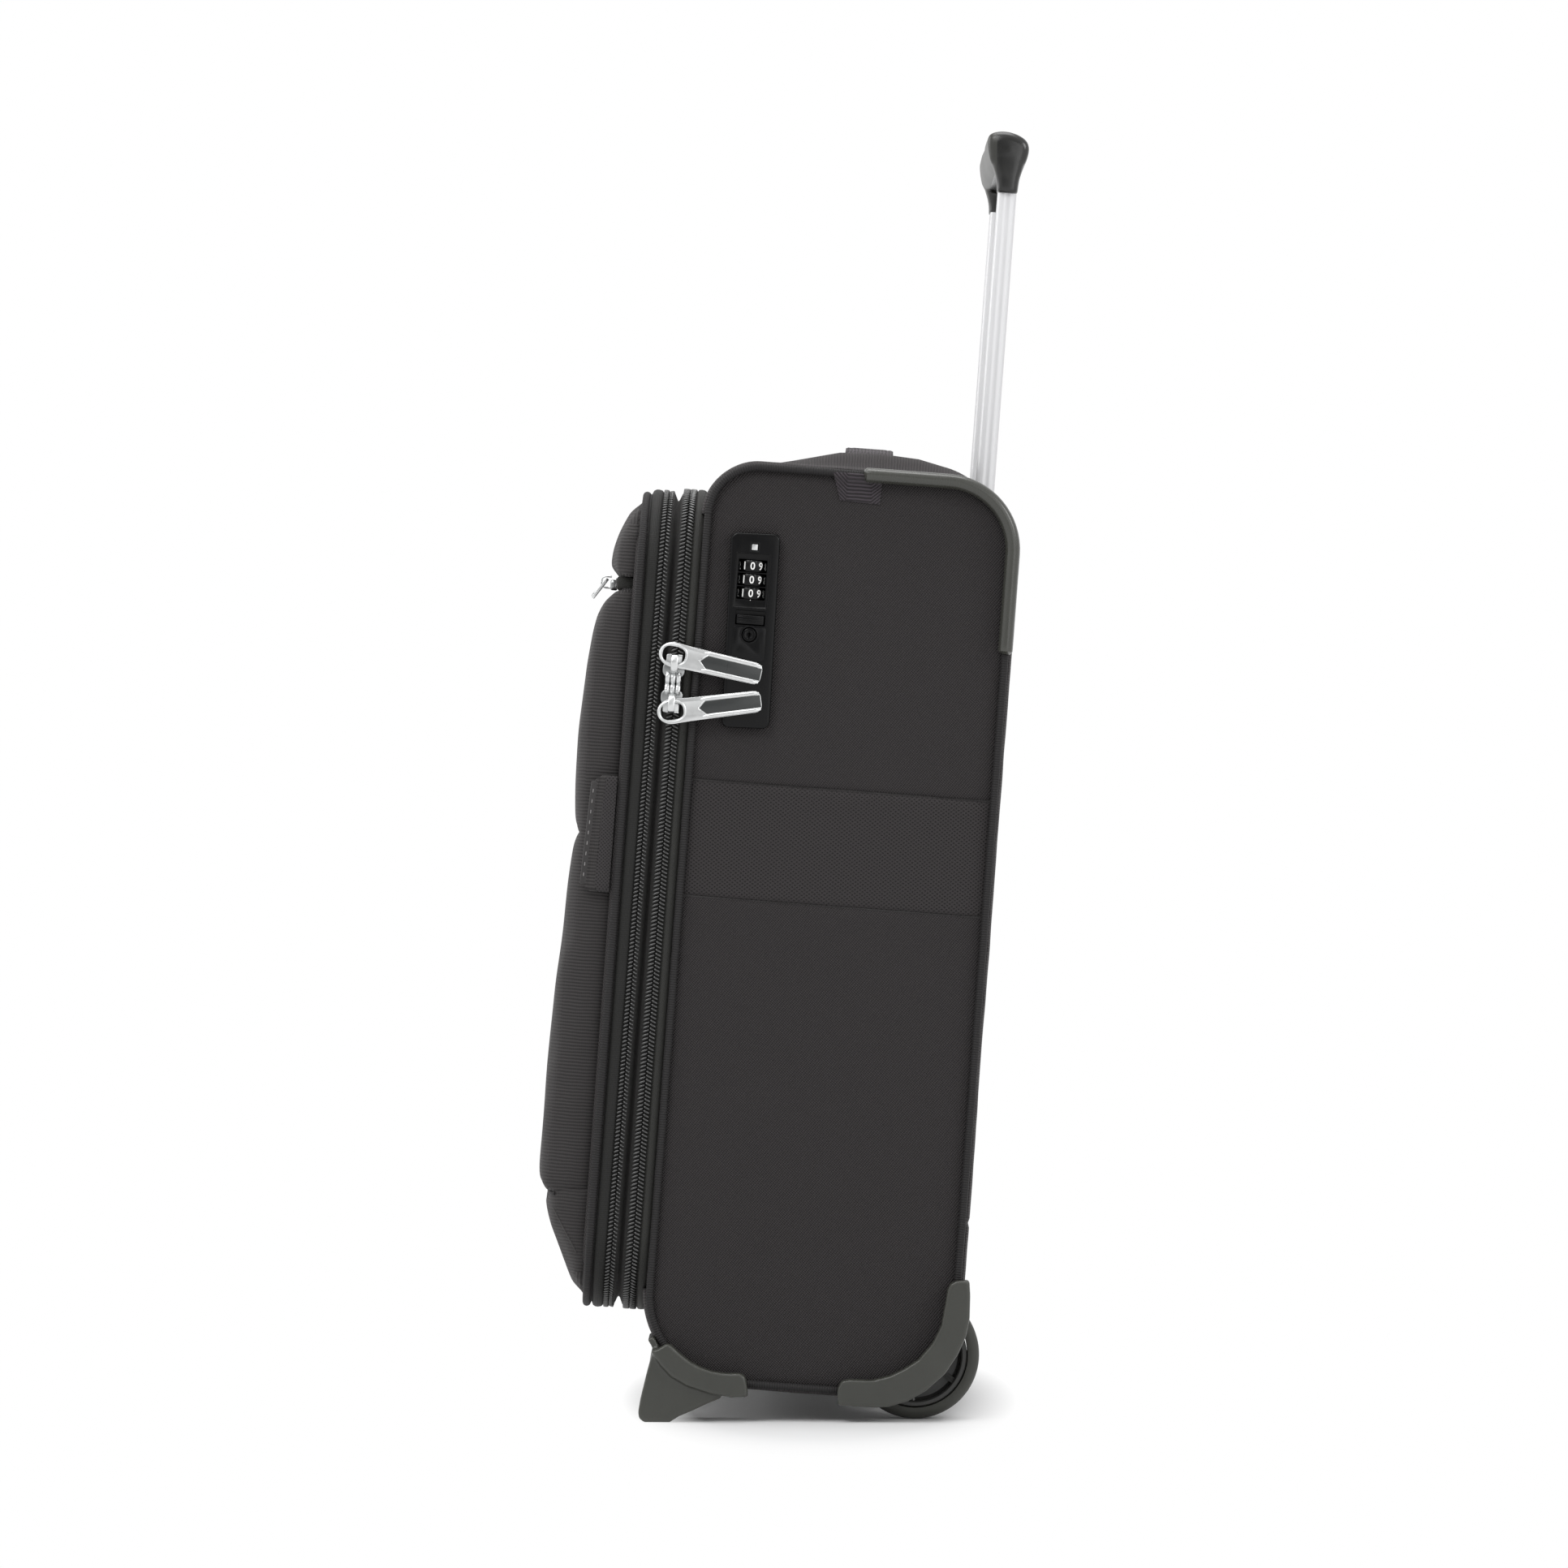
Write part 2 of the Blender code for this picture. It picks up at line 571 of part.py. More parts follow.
def build_front_feet():
    """Side flange, shoe round the bottom front corner, and a fin down to the floor."""
    foot = prism("flange", FOOT_FLANGE, "yz", (SIDE_X + GAP, SHOE_X), bevel=0.0018, segments=2)
    shoe = (corner_arc(FRONT_BOTTOM, -GAP, -150, -98, 8)
            + corner_arc(FRONT_BOTTOM, -0.0046, -98, -150, 8))
    fuse(foot, prism("shoe", shoe, "yz", (0.1500, SLEEVE_X)))
    toe = [case_point(y, 0.0) for y in TOE_FLOOR_Y]
    fuse(foot, prism("fin", FIN_FRONT + toe + FIN_BACK, "yz", (0.1600, 0.1975)))
    cut(foot, prism("cutter", body_outline(-GAP), "yz", (0.10, SIDE_X + GAP)))
    cut_piping_groove(foot)
    both_sides(foot, "front_foot", "moulded")


def build_webbing_tabs():
    tab = prism("tab", WEBBING_TAB, "yz", (SIDE_X + GAP, SIDE_X + 0.0019))
    both_sides(tab, "webbing_tab", "webbing")


# ================================================================ handles
def tube_section(size, margin=0.0, corner=TUBE_CORNER_R, side=1):
    """Rounded section (x, y) of a handle tube; margin is added to both widths."""
    return rounded_rect(around(side * TUBE_X, (size[0] + margin) / 2),
                        around(TUBE_Y, (size[1] + margin) / 2), corner, 2)


def build_tubes():
    for name, size, wall, z_span, look in (
            ("outer_tube", OUTER_TUBE, 0.0011, (0.0605, 0.4990), "steel"),
            ("middle_tube", MIDDLE_TUBE, 0.0010, (0.0700, 0.5120), "aluminium"),
            ("inner_tube", INNER_TUBE, 0.0009, (0.250, GRIP_BOTTOM - GAP), "aluminium")):
        bore = tube_section(size, -2 * wall, BORE_CORNER_R)
        both_sides(prism(name, [tube_section(size), bore], "xy", z_span), name, look)


def cut_tube_holes(piece, size, clearance, z_span):
    for side in SIDES:
        hole = tube_section(size, clearance, side=side)
        cut(piece, prism("cutter", hole, "xy", z_span))


def build_bezel_and_bracket():
    """Recessed surround at the top of the tubes, and the bar that holds their lower ends."""
    bezel = prism("handle_bezel", BEZEL, "yz", around(0, 0.1120))
    cut(bezel, box("cutter", around(0, 0.1005), (0.0552, 0.0816), (0.5132, 0.600)))
    cut_tube_holes(bezel, MIDDLE_TUBE, 0.0010, (0.49, 0.53))
    done(bezel, "moulded")

    bracket = box("tube_bracket", around(0, 0.1000), (0.0605, 0.0795), (0.0550, 0.0680))
    cut_tube_holes(bracket, OUTER_TUBE, 0.0007, (0.0600, 0.080))
    done(bracket, "moulded")


def build_grip():
    grip = prism("grip", GRIP, "yz", around(0, 0.0965), bevel=0.0030, segments=2)
    for side in SIDES:
        fuse(grip, prism("leg", GRIP_LEG, "yz", ordered(side * 0.0765, side * 0.0938)))
    cut(grip, box("cutter", around(0, 0.0165), (0.0642, 0.0738), (0.7318, 0.760)))
    done(grip, "gloss")

    button_y, button_z = 0.069, 0.7372
    button = box("grip_button", around(0, 0.0160), around(button_y, 0.0043),
                 around(button_z, 0.0020))
    done(button, "lock_black", (0, button_y, button_z))


def build_carry_handle():
    low, shoulder, high = 0.5462, 0.5490, 0.5530
    end_x, top_x = 0.098, 0.078
    outline = [(-end_x, low), (end_x, low), (end_x, shoulder), (top_x, high),
               (-top_x, high), (-end_x, shoulder)]
    strap = prism("carry_handle", outline, "xz", (-0.0110, 0.0160))
    done(strap, "webbing", (0, 0.0025, 0.5495))


# ================================================================ lock on the right side
def build_lock_housing():
    """Face plate and recessed body, cut for the dials, the release slide and the key."""
    cut_end = 0.21              # past the face plate
    corner = 0.004
    plate = rounded([(-0.0719, 0.4922, corner), (-0.0443, 0.4929, corner),
                     (-0.0425, 0.3842, corner), (-0.0691, 0.3832, corner)], 3)
    lock = prism("lock_housing", plate, "yz", (SIDE_X + GAP, LOCK_FACE), bevel=0.0010)
    fuse(lock, box("body", (0.1762, SIDE_X + 0.001), inset(LOCK_Y, 0.0040),
                   inset(LOCK_Z, 0.0040)))
    dial_window = ((0.1788, cut_end), around(DIAL_Y, 0.0100), (0.4523, 0.4778))
    slide_window = ((0.1918, cut_end), around(KEY_Y, 0.0080), (0.4411, 0.4498))
    for window in (dial_window, slide_window):
        cut(lock, box("cutter", *window))
    cut(lock, prism("cutter", circle((KEY_Y, KEY_Z), 0.0043, 16), "yz", (0.1850, cut_end)))
    done(lock, "lock_black")


def build_lock_controls():
    for number, z in enumerate(DIAL_Z, 1):
        dial = prism(f"lock_dial_{number}", circle((DIAL_X, DIAL_Y), DIAL_R, 20), "xy",
                     around(z, DIAL_HEIGHT / 2))
        done(dial, "lock_black", (DIAL_X, DIAL_Y, z))

    slide_x = 0.1942
    slide = box("release_slide", around(slide_x, 0.0021), around(KEY_Y, 0.0076),
                around(SLIDE_Z, 0.0025))
    done(slide, "lock_black", (slide_x, KEY_Y, SLIDE_Z))

    key_face = 0.1951
    key = prism("key_cylinder", circle((KEY_Y, KEY_Z), 0.0040, 16), "yz", (0.1855, key_face))
    done(key, "zinc", (key_face, KEY_Y, KEY_Z))


# ================================================================ lid
def build_zip_rings():
    """The two rings behind the lid shell, meeting at the main zip joint."""
    for name, y_span in (
            ("zip_tape_case", (ZIP_JOINT_Y + GAP / 2, ZIP_BACK)),
            ("lid_frame", (EXPANSION_Y + GAP / 2, ZIP_JOINT_Y - GAP / 2))):
        done(prism(name, [lid_outline(), lid_outline(LID_WALL)], "xz", y_span), "zip_tape")


def build_lid_shell():
    """Tray open at the back, its lining, and the piping round its front edge."""
    shell = prism("lid_shell", lid_outline(), "xz", (LID_FRONT, EXPANSION_Y - GAP / 2))
    cut(shell, prism("cutter", lid_outline(LID_WALL), "xz",
                     (LID_FRONT + 0.003, EXPANSION_Y + 0.02)))
    done(shell, "fabric")
    done(prism("lid_lining", lid_outline(LID_WALL + 0.0008), "xz", (-0.1086, -0.1076)),
         "lining")
    points = [(x, -0.1195, z) for x, z in lid_outline(-0.0027, 7)]
    done(closed_tube("lid_piping", points, 0.0023), "piping")


def build_pockets():
    for name, clipped, outline in POCKET_PANELS:
        panel = prism(name, outline, "yz", around(0, POCKET_HALF_X))
        if clipped:
            common(panel, prism("cutter", lid_outline(0.0005), "xz", (-0.17, -0.10)))
        done(panel, "pocket_fabric")
    done(box("pocket_zip_tape", around(0, 0.1700), (-0.1345, POCKET_BACK), (0.4569, 0.4626)),
         "zip_tape")
    done(prism("lid_band_right", LID_BAND, "yz", (POCKET_HALF_X + GAP, POCKET_HALF_X + 0.0018)),
         "webbing")


# ================================================================ zip sliders and pullers
def build_main_slider(name, z, up):
    """Body plate with an arched bridge that reaches over the rim of the puller's eye."""
    body_x = (0.1893, 0.1925)
    bridge_y = around(PIVOT_Y, 0.0011)
    slider = box("zip_slider_" + name, body_x, around(SLIDER_Y, 0.0055), around(z, 0.0058),
                 bevel=0.0008)
    for foot_x, rise in ((0.1915, 0.0005), (0.1920, 0.0072)):
        fuse(slider, box("post", (foot_x, 0.2008), bridge_y, around(z + up * rise, 0.0010)))
    fuse(slider, box("bridge", (0.2000, 0.2010), bridge_y,
                     ordered(z - up * 0.0005, z + up * 0.0082)))
    fuse(slider, box("nose", body_x, around(PIVOT_Y, 0.0040),
                     ordered(z + up * 0.0030, z + up * 0.0088)))
    done(slider, "zinc", (0.1910, SLIDER_Y, z))


def build_main_puller(name, slider_z, up):
    """Flat tapered puller: an oval eye at the front, the tail tilted towards the back."""
    eye_z = slider_z + up * 0.0083
    half_y, half_z = 0.0065, 0.0042
    # Just under the half height, so that the end arcs do not meet
    hole = rounded_rect(around(PIVOT_Y, half_y), around(eye_z + up * 0.0002, half_z),
                        half_z * 0.999, 5)
    angles = [math.radians(degrees) for degrees in range(60, 301, 24)]
    ring = [(PIVOT_Y + 0.0092 * math.cos(angle), eye_z + 0.0066 * math.sin(angle))
            for angle in angles]
    tilt = -up * math.radians(9.0)
    along = Vector((math.cos(tilt), math.sin(tilt)))
    across = Vector((-along.y, along.x))
    # One edge of the tail: distance from the eye, half width
    edge = [(0.0070, 0.0062), (0.0440, 0.0056), (0.0480, 0.0030)]
    stations = [(distance, -half) for distance, half in edge] + edge[::-1]
    tail = [Vector((PIVOT_Y, eye_z)) + along * distance + across * offset
            for distance, offset in stations]
    outline = ring + [(point.x, point.y) for point in tail]
    puller = prism("zip_puller_" + name, [outline, hole], "yz", PULLER_X)
    done(puller, "zinc", (sum(PULLER_X) / 2, PIVOT_Y, eye_z))


def build_expansion_zip():
    """Slider and puller on the left side, low on the expansion zip."""
    y, z = EXPANSION_Y, EXP_SLIDER_Z
    loop_y = around(y, 0.0011)
    slider = box("expansion_slider", (-0.1925, -0.1888), around(y, 0.0042), around(z, 0.0050))
    for rise in (-0.0035, 0.0035):
        fuse(slider, box("post", (-0.1962, -0.1920), loop_y, around(z + rise, 0.0008)))
    fuse(slider, box("bridge", (-0.1966, -0.1957), loop_y, around(z, 0.0043)))
    done(slider, "zinc", (-0.1905, y, z))

    # Plate and eye: half width, top and bottom from the slider
    loops = [[(y - half, z + top), (y - half, z + low), (y + half, z + low), (y + half, z + top)]
             for half, top, low in ((0.0035, 0.0022, -0.0250), (0.0019, 0.0004, -0.0066))]
    puller = prism("expansion_puller", loops, "yz", (-0.1949, -0.1937))
    done(puller, "zinc", (-0.1943, y, z + 0.0013))


def build_pocket_zip():
    """Slider on the face of the pocket zip tape; its puller hangs over the pocket."""
    x, y, z = POCKET_ZIP
    slider = box("pocket_slider", around(x, 0.0050), (y - 0.0040, y), around(z, 0.0028))
    # Bridge base, two posts and bridge: half width, y span, z span from the slider
    for half_x, (y0, y1), (z0, z1) in (
            (0.0020, (-0.0048, -0.0036), (-0.0026, 0.0054)),
            (0.0009, (-0.0092, -0.0042), (-0.0023, -0.0007)),
            (0.0009, (-0.0092, -0.0042), (0.0040, 0.0053)),
            (0.0010, (-0.0096, -0.0084), (-0.0024, 0.0054))):
        fuse(slider, box("loop", around(x, half_x), (y + y0, y + y1), (z + z0, z + z1)))
    done(slider, "zinc", (x, y - 0.0020, z))

    pivot = Vector((x, y - 0.0066, z + 0.0026))
    puller = box("pocket_puller", around(x, 0.0040), around(pivot.y, 0.0006),
                 (z - 0.0200, z + 0.0035))
    cut(puller, box("cutter", around(x, 0.0024), around(pivot.y, 0.01),
                    (z - 0.0050, z + 0.0017)))
    puller.data.transform(Matrix.Translation(pivot)
                          @ Matrix.Rotation(math.radians(-35), 4, "X")
                          @ Matrix.Translation(-pivot))
    done(puller, "zinc", pivot)


# ================================================================ assembly
# Pieces that swing with the lid, and those that also travel with the expansion
LID_PIECES = {"lid_frame", "expansion_slider", "expansion_puller"}
EXPANDING_PIECES = {
    "lid_shell", "lid_lining", "lid_piping", "front_lower_panel", "pocket_lower",
    "pocket_upper", "pocket_zip_tape", "pocket_top_panel", "lid_band_right",
    "pocket_slider", "pocket_puller"}


def hang(child, parent, parent_place=(0, 0, 0)):
    """Parent a piece and keep its place in the case frame."""
    child.parent = parent
    child.location = Vector(child.location) - Vector(parent_place)


def assemble():
    frame = add_object("case_frame", None)
    hinge = add_object("lid_hinge_axis", None)
    hinge.location = HINGE
    expansion = add_object("expansion_travel", None)
    expansion.location = EXPANSION_ORIGIN
    for piece in PARTS:
        if piece.name in EXPANDING_PIECES:
            hang(piece, expansion, EXPANSION_ORIGIN)
        elif piece.name in LID_PIECES:
            hang(piece, hinge, HINGE)
        else:
            hang(piece, frame)
    hang(expansion, hinge, HINGE)
    hang(hinge, frame)
    frame.rotation_euler = (-LEAN, 0, 0)
    bpy.context.view_layer.update()

    # Centre the case over the world origin in depth
    depths = [(piece.matrix_world @ vertex.co).y
              for piece in PARTS for vertex in piece.data.vertices]
    frame.location = (0, -(min(depths) + max(depths)) / 2, 0)
    bpy.context.view_layer.update()


build_side_panels()
build_top_panel()
build_back_and_bottom()
build_front_border()
build_lining()
both_sides(piping_run("piping", PIPE_R), "piping", "piping")
build_corner_guards()
build_wheel_housings()
build_wheels()
build_front_feet()
build_webbing_tabs()
build_tubes()
build_bezel_and_bracket()
build_grip()
build_carry_handle()
build_lock_housing()
build_lock_controls()
build_zip_rings()
build_lid_shell()
build_pockets()
for slider_name, slider_height, bridge_way in SLIDERS:
    build_main_slider(slider_name, slider_height, bridge_way)
    build_main_puller(slider_name, slider_height, bridge_way)
build_expansion_zip()
build_pocket_zip()
assemble()
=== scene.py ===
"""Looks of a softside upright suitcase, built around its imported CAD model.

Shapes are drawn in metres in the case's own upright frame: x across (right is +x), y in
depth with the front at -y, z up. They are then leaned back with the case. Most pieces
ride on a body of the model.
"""
import math
from math import cos, exp, pi, radians, sin, sqrt, tau

import bmesh
import bpy
import numpy as np
from mathutils import Matrix, Vector, noise
from mathutils.bvhtree import BVHTree

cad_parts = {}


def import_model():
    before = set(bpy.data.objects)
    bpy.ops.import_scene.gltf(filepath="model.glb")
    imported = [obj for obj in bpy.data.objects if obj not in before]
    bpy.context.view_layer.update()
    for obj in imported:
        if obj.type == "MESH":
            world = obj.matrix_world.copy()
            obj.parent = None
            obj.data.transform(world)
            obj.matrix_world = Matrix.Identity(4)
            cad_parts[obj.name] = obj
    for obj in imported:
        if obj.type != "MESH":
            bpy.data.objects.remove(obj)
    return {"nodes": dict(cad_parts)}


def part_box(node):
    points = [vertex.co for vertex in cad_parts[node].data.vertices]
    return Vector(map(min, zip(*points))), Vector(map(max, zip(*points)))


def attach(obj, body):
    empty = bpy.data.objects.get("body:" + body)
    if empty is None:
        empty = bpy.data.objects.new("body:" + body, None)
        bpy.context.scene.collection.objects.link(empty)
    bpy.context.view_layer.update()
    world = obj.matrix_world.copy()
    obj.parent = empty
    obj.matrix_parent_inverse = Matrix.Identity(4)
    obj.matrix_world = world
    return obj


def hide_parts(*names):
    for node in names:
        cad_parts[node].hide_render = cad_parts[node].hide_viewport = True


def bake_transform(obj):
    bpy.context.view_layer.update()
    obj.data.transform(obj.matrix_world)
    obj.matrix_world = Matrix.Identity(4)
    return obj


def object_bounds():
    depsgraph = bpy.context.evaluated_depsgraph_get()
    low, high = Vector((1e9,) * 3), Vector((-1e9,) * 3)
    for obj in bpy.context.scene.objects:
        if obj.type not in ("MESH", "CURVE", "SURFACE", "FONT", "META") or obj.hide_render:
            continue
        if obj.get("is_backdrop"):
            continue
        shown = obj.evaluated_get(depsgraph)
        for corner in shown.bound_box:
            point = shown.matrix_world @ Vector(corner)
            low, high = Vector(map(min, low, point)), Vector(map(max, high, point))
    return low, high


CAD_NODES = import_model()["nodes"]
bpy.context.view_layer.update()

# ================================================================ frame and driving sizes
LEAN = radians(4.3)
WHEEL_RADIUS = 0.036
WHEEL_DEPTH = 0.068                  # axle from the origin of the leaned case, before SHIFT
tyre_low, tyre_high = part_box("tyre_right")
SHIFT = (tyre_low.y + tyre_high.y) / 2 - WHEEL_DEPTH
TO_WORLD = Matrix.Translation((0, SHIFT, 0)) @ Matrix.Rotation(-LEAN, 4, "X")
TO_LOCAL = TO_WORLD.inverted()
SIDES = (("right", 1), ("left", -1))

# body of the case
HALF_WIDTH, HALF_DEPTH = 0.190, 0.0875
BOTTOM, TOP = 0.017, 0.5315
FRONT_TOP_R, BACK_TOP_R, BACK_BOTTOM_R, FRONT_BOTTOM_R = 0.030, 0.040, 0.055, 0.050
GUSSET_X = 0.1839                    # half width of the gusset cloth
SEAM_LOW, SEAM_HIGH = 0.2880, 0.3530  # edges of the waist band on the side panels
# lid and pockets
LID_X, LID_BOTTOM, LID_TOP, LID_R = 0.1885, 0.056, 0.510, 0.044
MAIN_ZIP_Y, OUTER_ZIP_Y = -0.0968, -0.1087       # middle lines of the two coils
POCKET_X, POCKET_BACK = 0.1835, -0.1209
# wheels and telescopic tubes
WHEEL_X, WHEEL_HALF_WIDTH = 0.166, 0.011
WHEEL_Y = WHEEL_DEPTH * cos(LEAN) - WHEEL_RADIUS * sin(LEAN)
WHEEL_Z = WHEEL_DEPTH * sin(LEAN) + WHEEL_RADIUS * cos(LEAN)
TUBE_X, TUBE_Y = 0.085, 0.0697


# ================================================================ materials
class Shader:
    """A small builder for procedural node trees."""

    def __init__(self, owner, output="ShaderNodeOutputMaterial"):
        self.owner = owner
        owner.use_nodes = True
        self.tree = owner.node_tree
        self.tree.nodes.clear()
        self.output = self.node(output)

    def node(self, kind, **props):
        node = self.tree.nodes.new(kind)
        for key, value in props.items():
            setattr(node, key, value)
        return node

    def link(self, source, target):
        self.tree.links.new(source, target)

    def put(self, socket, value):
        """Links a socket, or sets a number or a colour."""
        if isinstance(value, bpy.types.NodeSocket):
            self.link(value, socket)
        elif isinstance(value, tuple):
            socket.default_value = (*value[:3], 1.0)
        else:
            socket.default_value = value

    def calc(self, operation, first, second=0.0, clamp=False):
        node = self.node("ShaderNodeMath", operation=operation, use_clamp=clamp)
        self.put(node.inputs[0], first)
        self.put(node.inputs[1], second)
        return node.outputs[0]

    def plus(self, first, second):
        return self.calc("ADD", first, second)

    def times(self, first, second):
        return self.calc("MULTIPLY", first, second)

    def centred(self, fac, amount):
        """A 0..1 value turned into a swing of amount about zero."""
        return self.times(self.calc("SUBTRACT", fac, 0.5), amount)

    def varied(self, value, variation):
        return self.calc("ADD", value, variation, clamp=True)

    def wave(self, coord, frequency):
        return self.calc("SINE", self.times(coord, frequency))

    def split(self, vector):
        node = self.node("ShaderNodeSeparateXYZ")
        self.link(vector, node.inputs[0])
        return node.outputs[:3]

    def case_coords(self):
        """Object coordinates turned into the case's own frame."""
        coords = self.node("ShaderNodeTexCoord")
        mapping = self.node("ShaderNodeMapping")
        mapping.inputs["Rotation"].default_value = (LEAN, 0, 0)
        offset = Matrix.Rotation(LEAN, 3, "X") @ Vector((0, -SHIFT, 0))
        mapping.inputs["Location"].default_value = tuple(offset)
        self.link(coords.outputs["Object"], mapping.inputs[0])
        return mapping.outputs[0]

    def noise(self, vector, scale, detail=2.0, rough=0.5, stretch=None):
        if stretch is not None:
            mapping = self.node("ShaderNodeMapping")
            mapping.inputs["Scale"].default_value = stretch
            self.link(vector, mapping.inputs[0])
            vector = mapping.outputs[0]
        texture = self.node("ShaderNodeTexNoise")
        texture.inputs["Scale"].default_value = scale
        texture.inputs["Detail"].default_value = detail
        texture.inputs["Roughness"].default_value = rough
        self.link(vector, texture.inputs["Vector"])
        return texture.outputs["Fac"]

    def remap(self, fac, source, target):
        """Maps the source range to the target range, clamped."""
        node = self.node("ShaderNodeMapRange", clamp=True)
        self.put(node.inputs[0], fac)
        for i, value in enumerate((*source, *target)):
            node.inputs[1 + i].default_value = value
        return node.outputs[0]

    def mix(self, fac, first, second):
        node = self.node("ShaderNodeMix", data_type="RGBA")
        for i, value in ((0, fac), (6, first), (7, second)):
            self.put(node.inputs[i], value)
        return node.outputs[2]

    def mix_value(self, fac, first, second):
        node = self.node("ShaderNodeMix", data_type="FLOAT")
        for i, value in ((0, fac), (2, first), (3, second)):
            self.put(node.inputs[i], value)
        return node.outputs[0]

    def mix_shader(self, fac, first, second):
        node = self.node("ShaderNodeMixShader")
        for i, socket in enumerate((fac, first, second)):
            self.link(socket, node.inputs[i])
        return node.outputs[0]

    def glow(self, kind, color, strength):
        """An emission or background node."""
        node = self.node(kind)
        node.inputs[0].default_value = color
        self.put(node.inputs[1], strength)
        return node.outputs[0]

    def bump(self, height, distance, strength):
        node = self.node("ShaderNodeBump")
        node.inputs["Strength"].default_value = strength
        node.inputs["Distance"].default_value = distance
        self.link(height, node.inputs["Height"])
        return node.outputs[0]

    def surface(self, color, rough, normal=None, metallic=0.0, sheen=0.0, coat=0.0, spec=0.5):
        """Principled surface; returns its shader socket."""
        bsdf = self.node("ShaderNodeBsdfPrincipled")
        self.put(bsdf.inputs["Base Color"], color)
        self.put(bsdf.inputs["Roughness"], rough)
        bsdf.inputs["Metallic"].default_value = metallic
        bsdf.inputs["Specular IOR Level"].default_value = spec
        if sheen:
            bsdf.inputs["Sheen Weight"].default_value = sheen
            bsdf.inputs["Sheen Roughness"].default_value = 0.45
            bsdf.inputs["Sheen Tint"].default_value = (0.75, 0.72, 0.72, 1)
        if coat:
            bsdf.inputs["Coat Weight"].default_value = coat
            bsdf.inputs["Coat Roughness"].default_value = 0.08
        if normal is not None:
            self.link(normal, bsdf.inputs["Normal"])
        return bsdf.outputs[0]

    def finish(self, shader):
        self.link(shader, self.output.inputs[0])
        return self.owner


def new_material(name):
    return Shader(bpy.data.materials.new(name))


def scaled(color, factor):
    return tuple(min(1.0, x * factor) for x in color)


def weave_height(mat, kind, u, v, pitch, aspect):
    """Height 0..1 of the weave pattern over the metre-true u and v."""
    freq_u, freq_v = tau / (pitch * aspect), tau / pitch
    if kind == "dots":
        slanted = mat.plus(u, mat.times(v, 0.28))
        cells = mat.times(mat.wave(slanted, freq_u), mat.wave(v, freq_v))
        return mat.remap(cells, (-1, 1), (0, 1))
    if kind == "holes":
        cells = mat.times(mat.wave(u, freq_u), mat.wave(v, freq_v))
        return mat.remap(cells, (-0.95, -0.15), (0, 1))
    if kind == "ribs":
        fine = mat.times(mat.wave(u, freq_v * 1.7), 0.18)
        return mat.remap(mat.plus(mat.wave(v, freq_v), fine), (-1.1, 0.9), (0, 1))
    if kind == "grosgrain":
        return mat.remap(mat.calc("ABSOLUTE", mat.wave(v, freq_v / 2)), (0.05, 1.0), (0, 1))
    if kind == "herring":
        zigzag = mat.times(mat.calc("PINGPONG", u, pitch * aspect), 0.9)
        return mat.remap(mat.wave(mat.plus(v, zigzag), freq_v), (-1, 1), (0, 1))
    both = mat.plus(mat.times(mat.wave(u, freq_u), 0.5), mat.times(mat.wave(v, freq_v), 0.5))
    return mat.remap(both, (-1, 1), (0, 1))


def weave(name, rgb, pitch, kind, contrast, relief, rough=0.82, sheen=0.12, aspect=1.0):
    """Woven cloth on the 'cloth' map: dots, holes, ribs, grosgrain, herring or plain."""
    mat = new_material(name)
    vector = mat.node("ShaderNodeUVMap", uv_map="cloth").outputs[0]
    u, v, _ = mat.split(vector)
    wander = mat.centred(mat.noise(vector, scale=90.0), 0.0011)      # the yarns wander a little
    pattern = weave_height(mat, kind, mat.plus(u, wander), mat.plus(v, wander), pitch, aspect)
    fibre = mat.noise(vector, scale=2600.0, rough=0.6)
    slub = mat.noise(vector, scale=22.0, detail=3.0, rough=0.6)
    broad = mat.noise(vector, scale=5.0)
    height = mat.plus(mat.times(pattern, 0.8), mat.times(fibre, 0.2))
    color = mat.mix(height, scaled(rgb, 1 - contrast), scaled(rgb, 1 + contrast))
    tone = mat.plus(mat.times(slub, 0.5), mat.times(broad, 0.5))
    color = mat.mix(mat.remap(tone, (0.35, 0.70), (0.0, 0.20)), color, scaled(rgb, 1.35))
    roughness = mat.varied(rough, mat.centred(fibre, 0.14))
    normal = mat.bump(height, distance=relief, strength=0.9)
    return mat.finish(mat.surface(color, roughness, normal, sheen=sheen, spec=0.32))


def plastic(name, rgb, rough, grain=1800.0, relief=0.00003, wear=0.25, coat=0.0, spec=0.5):
    """Grained plastic, scuffed and worn lighter at the edges."""
    mat = new_material(name)
    vector = mat.case_coords()
    fine = mat.noise(vector, scale=grain, detail=3.0, rough=0.55)
    scuff = mat.noise(vector, scale=45.0, detail=5.0, rough=0.65)
    pointiness = mat.node("ShaderNodeNewGeometry").outputs["Pointiness"]
    edge = mat.remap(pointiness, (0.505, 0.56), (0.0, 1.0))
    streak = mat.noise(vector, scale=60.0, detail=4.0, rough=0.7, stretch=(1.0, 6.0, 1.0))
    scuffed = mat.times(mat.remap(scuff, (0.45, 0.75), (0, 1)), wear)
    color = mat.mix(scuffed, rgb, scaled(rgb, 1.5))
    color = mat.mix(mat.times(edge, wear * 1.4), color, scaled(rgb, 1.9))
    roughness = mat.varied(rough, mat.centred(streak, 0.16))
    normal = mat.bump(fine, distance=relief, strength=0.7)
    return mat.finish(mat.surface(color, roughness, normal, coat=coat, spec=spec))


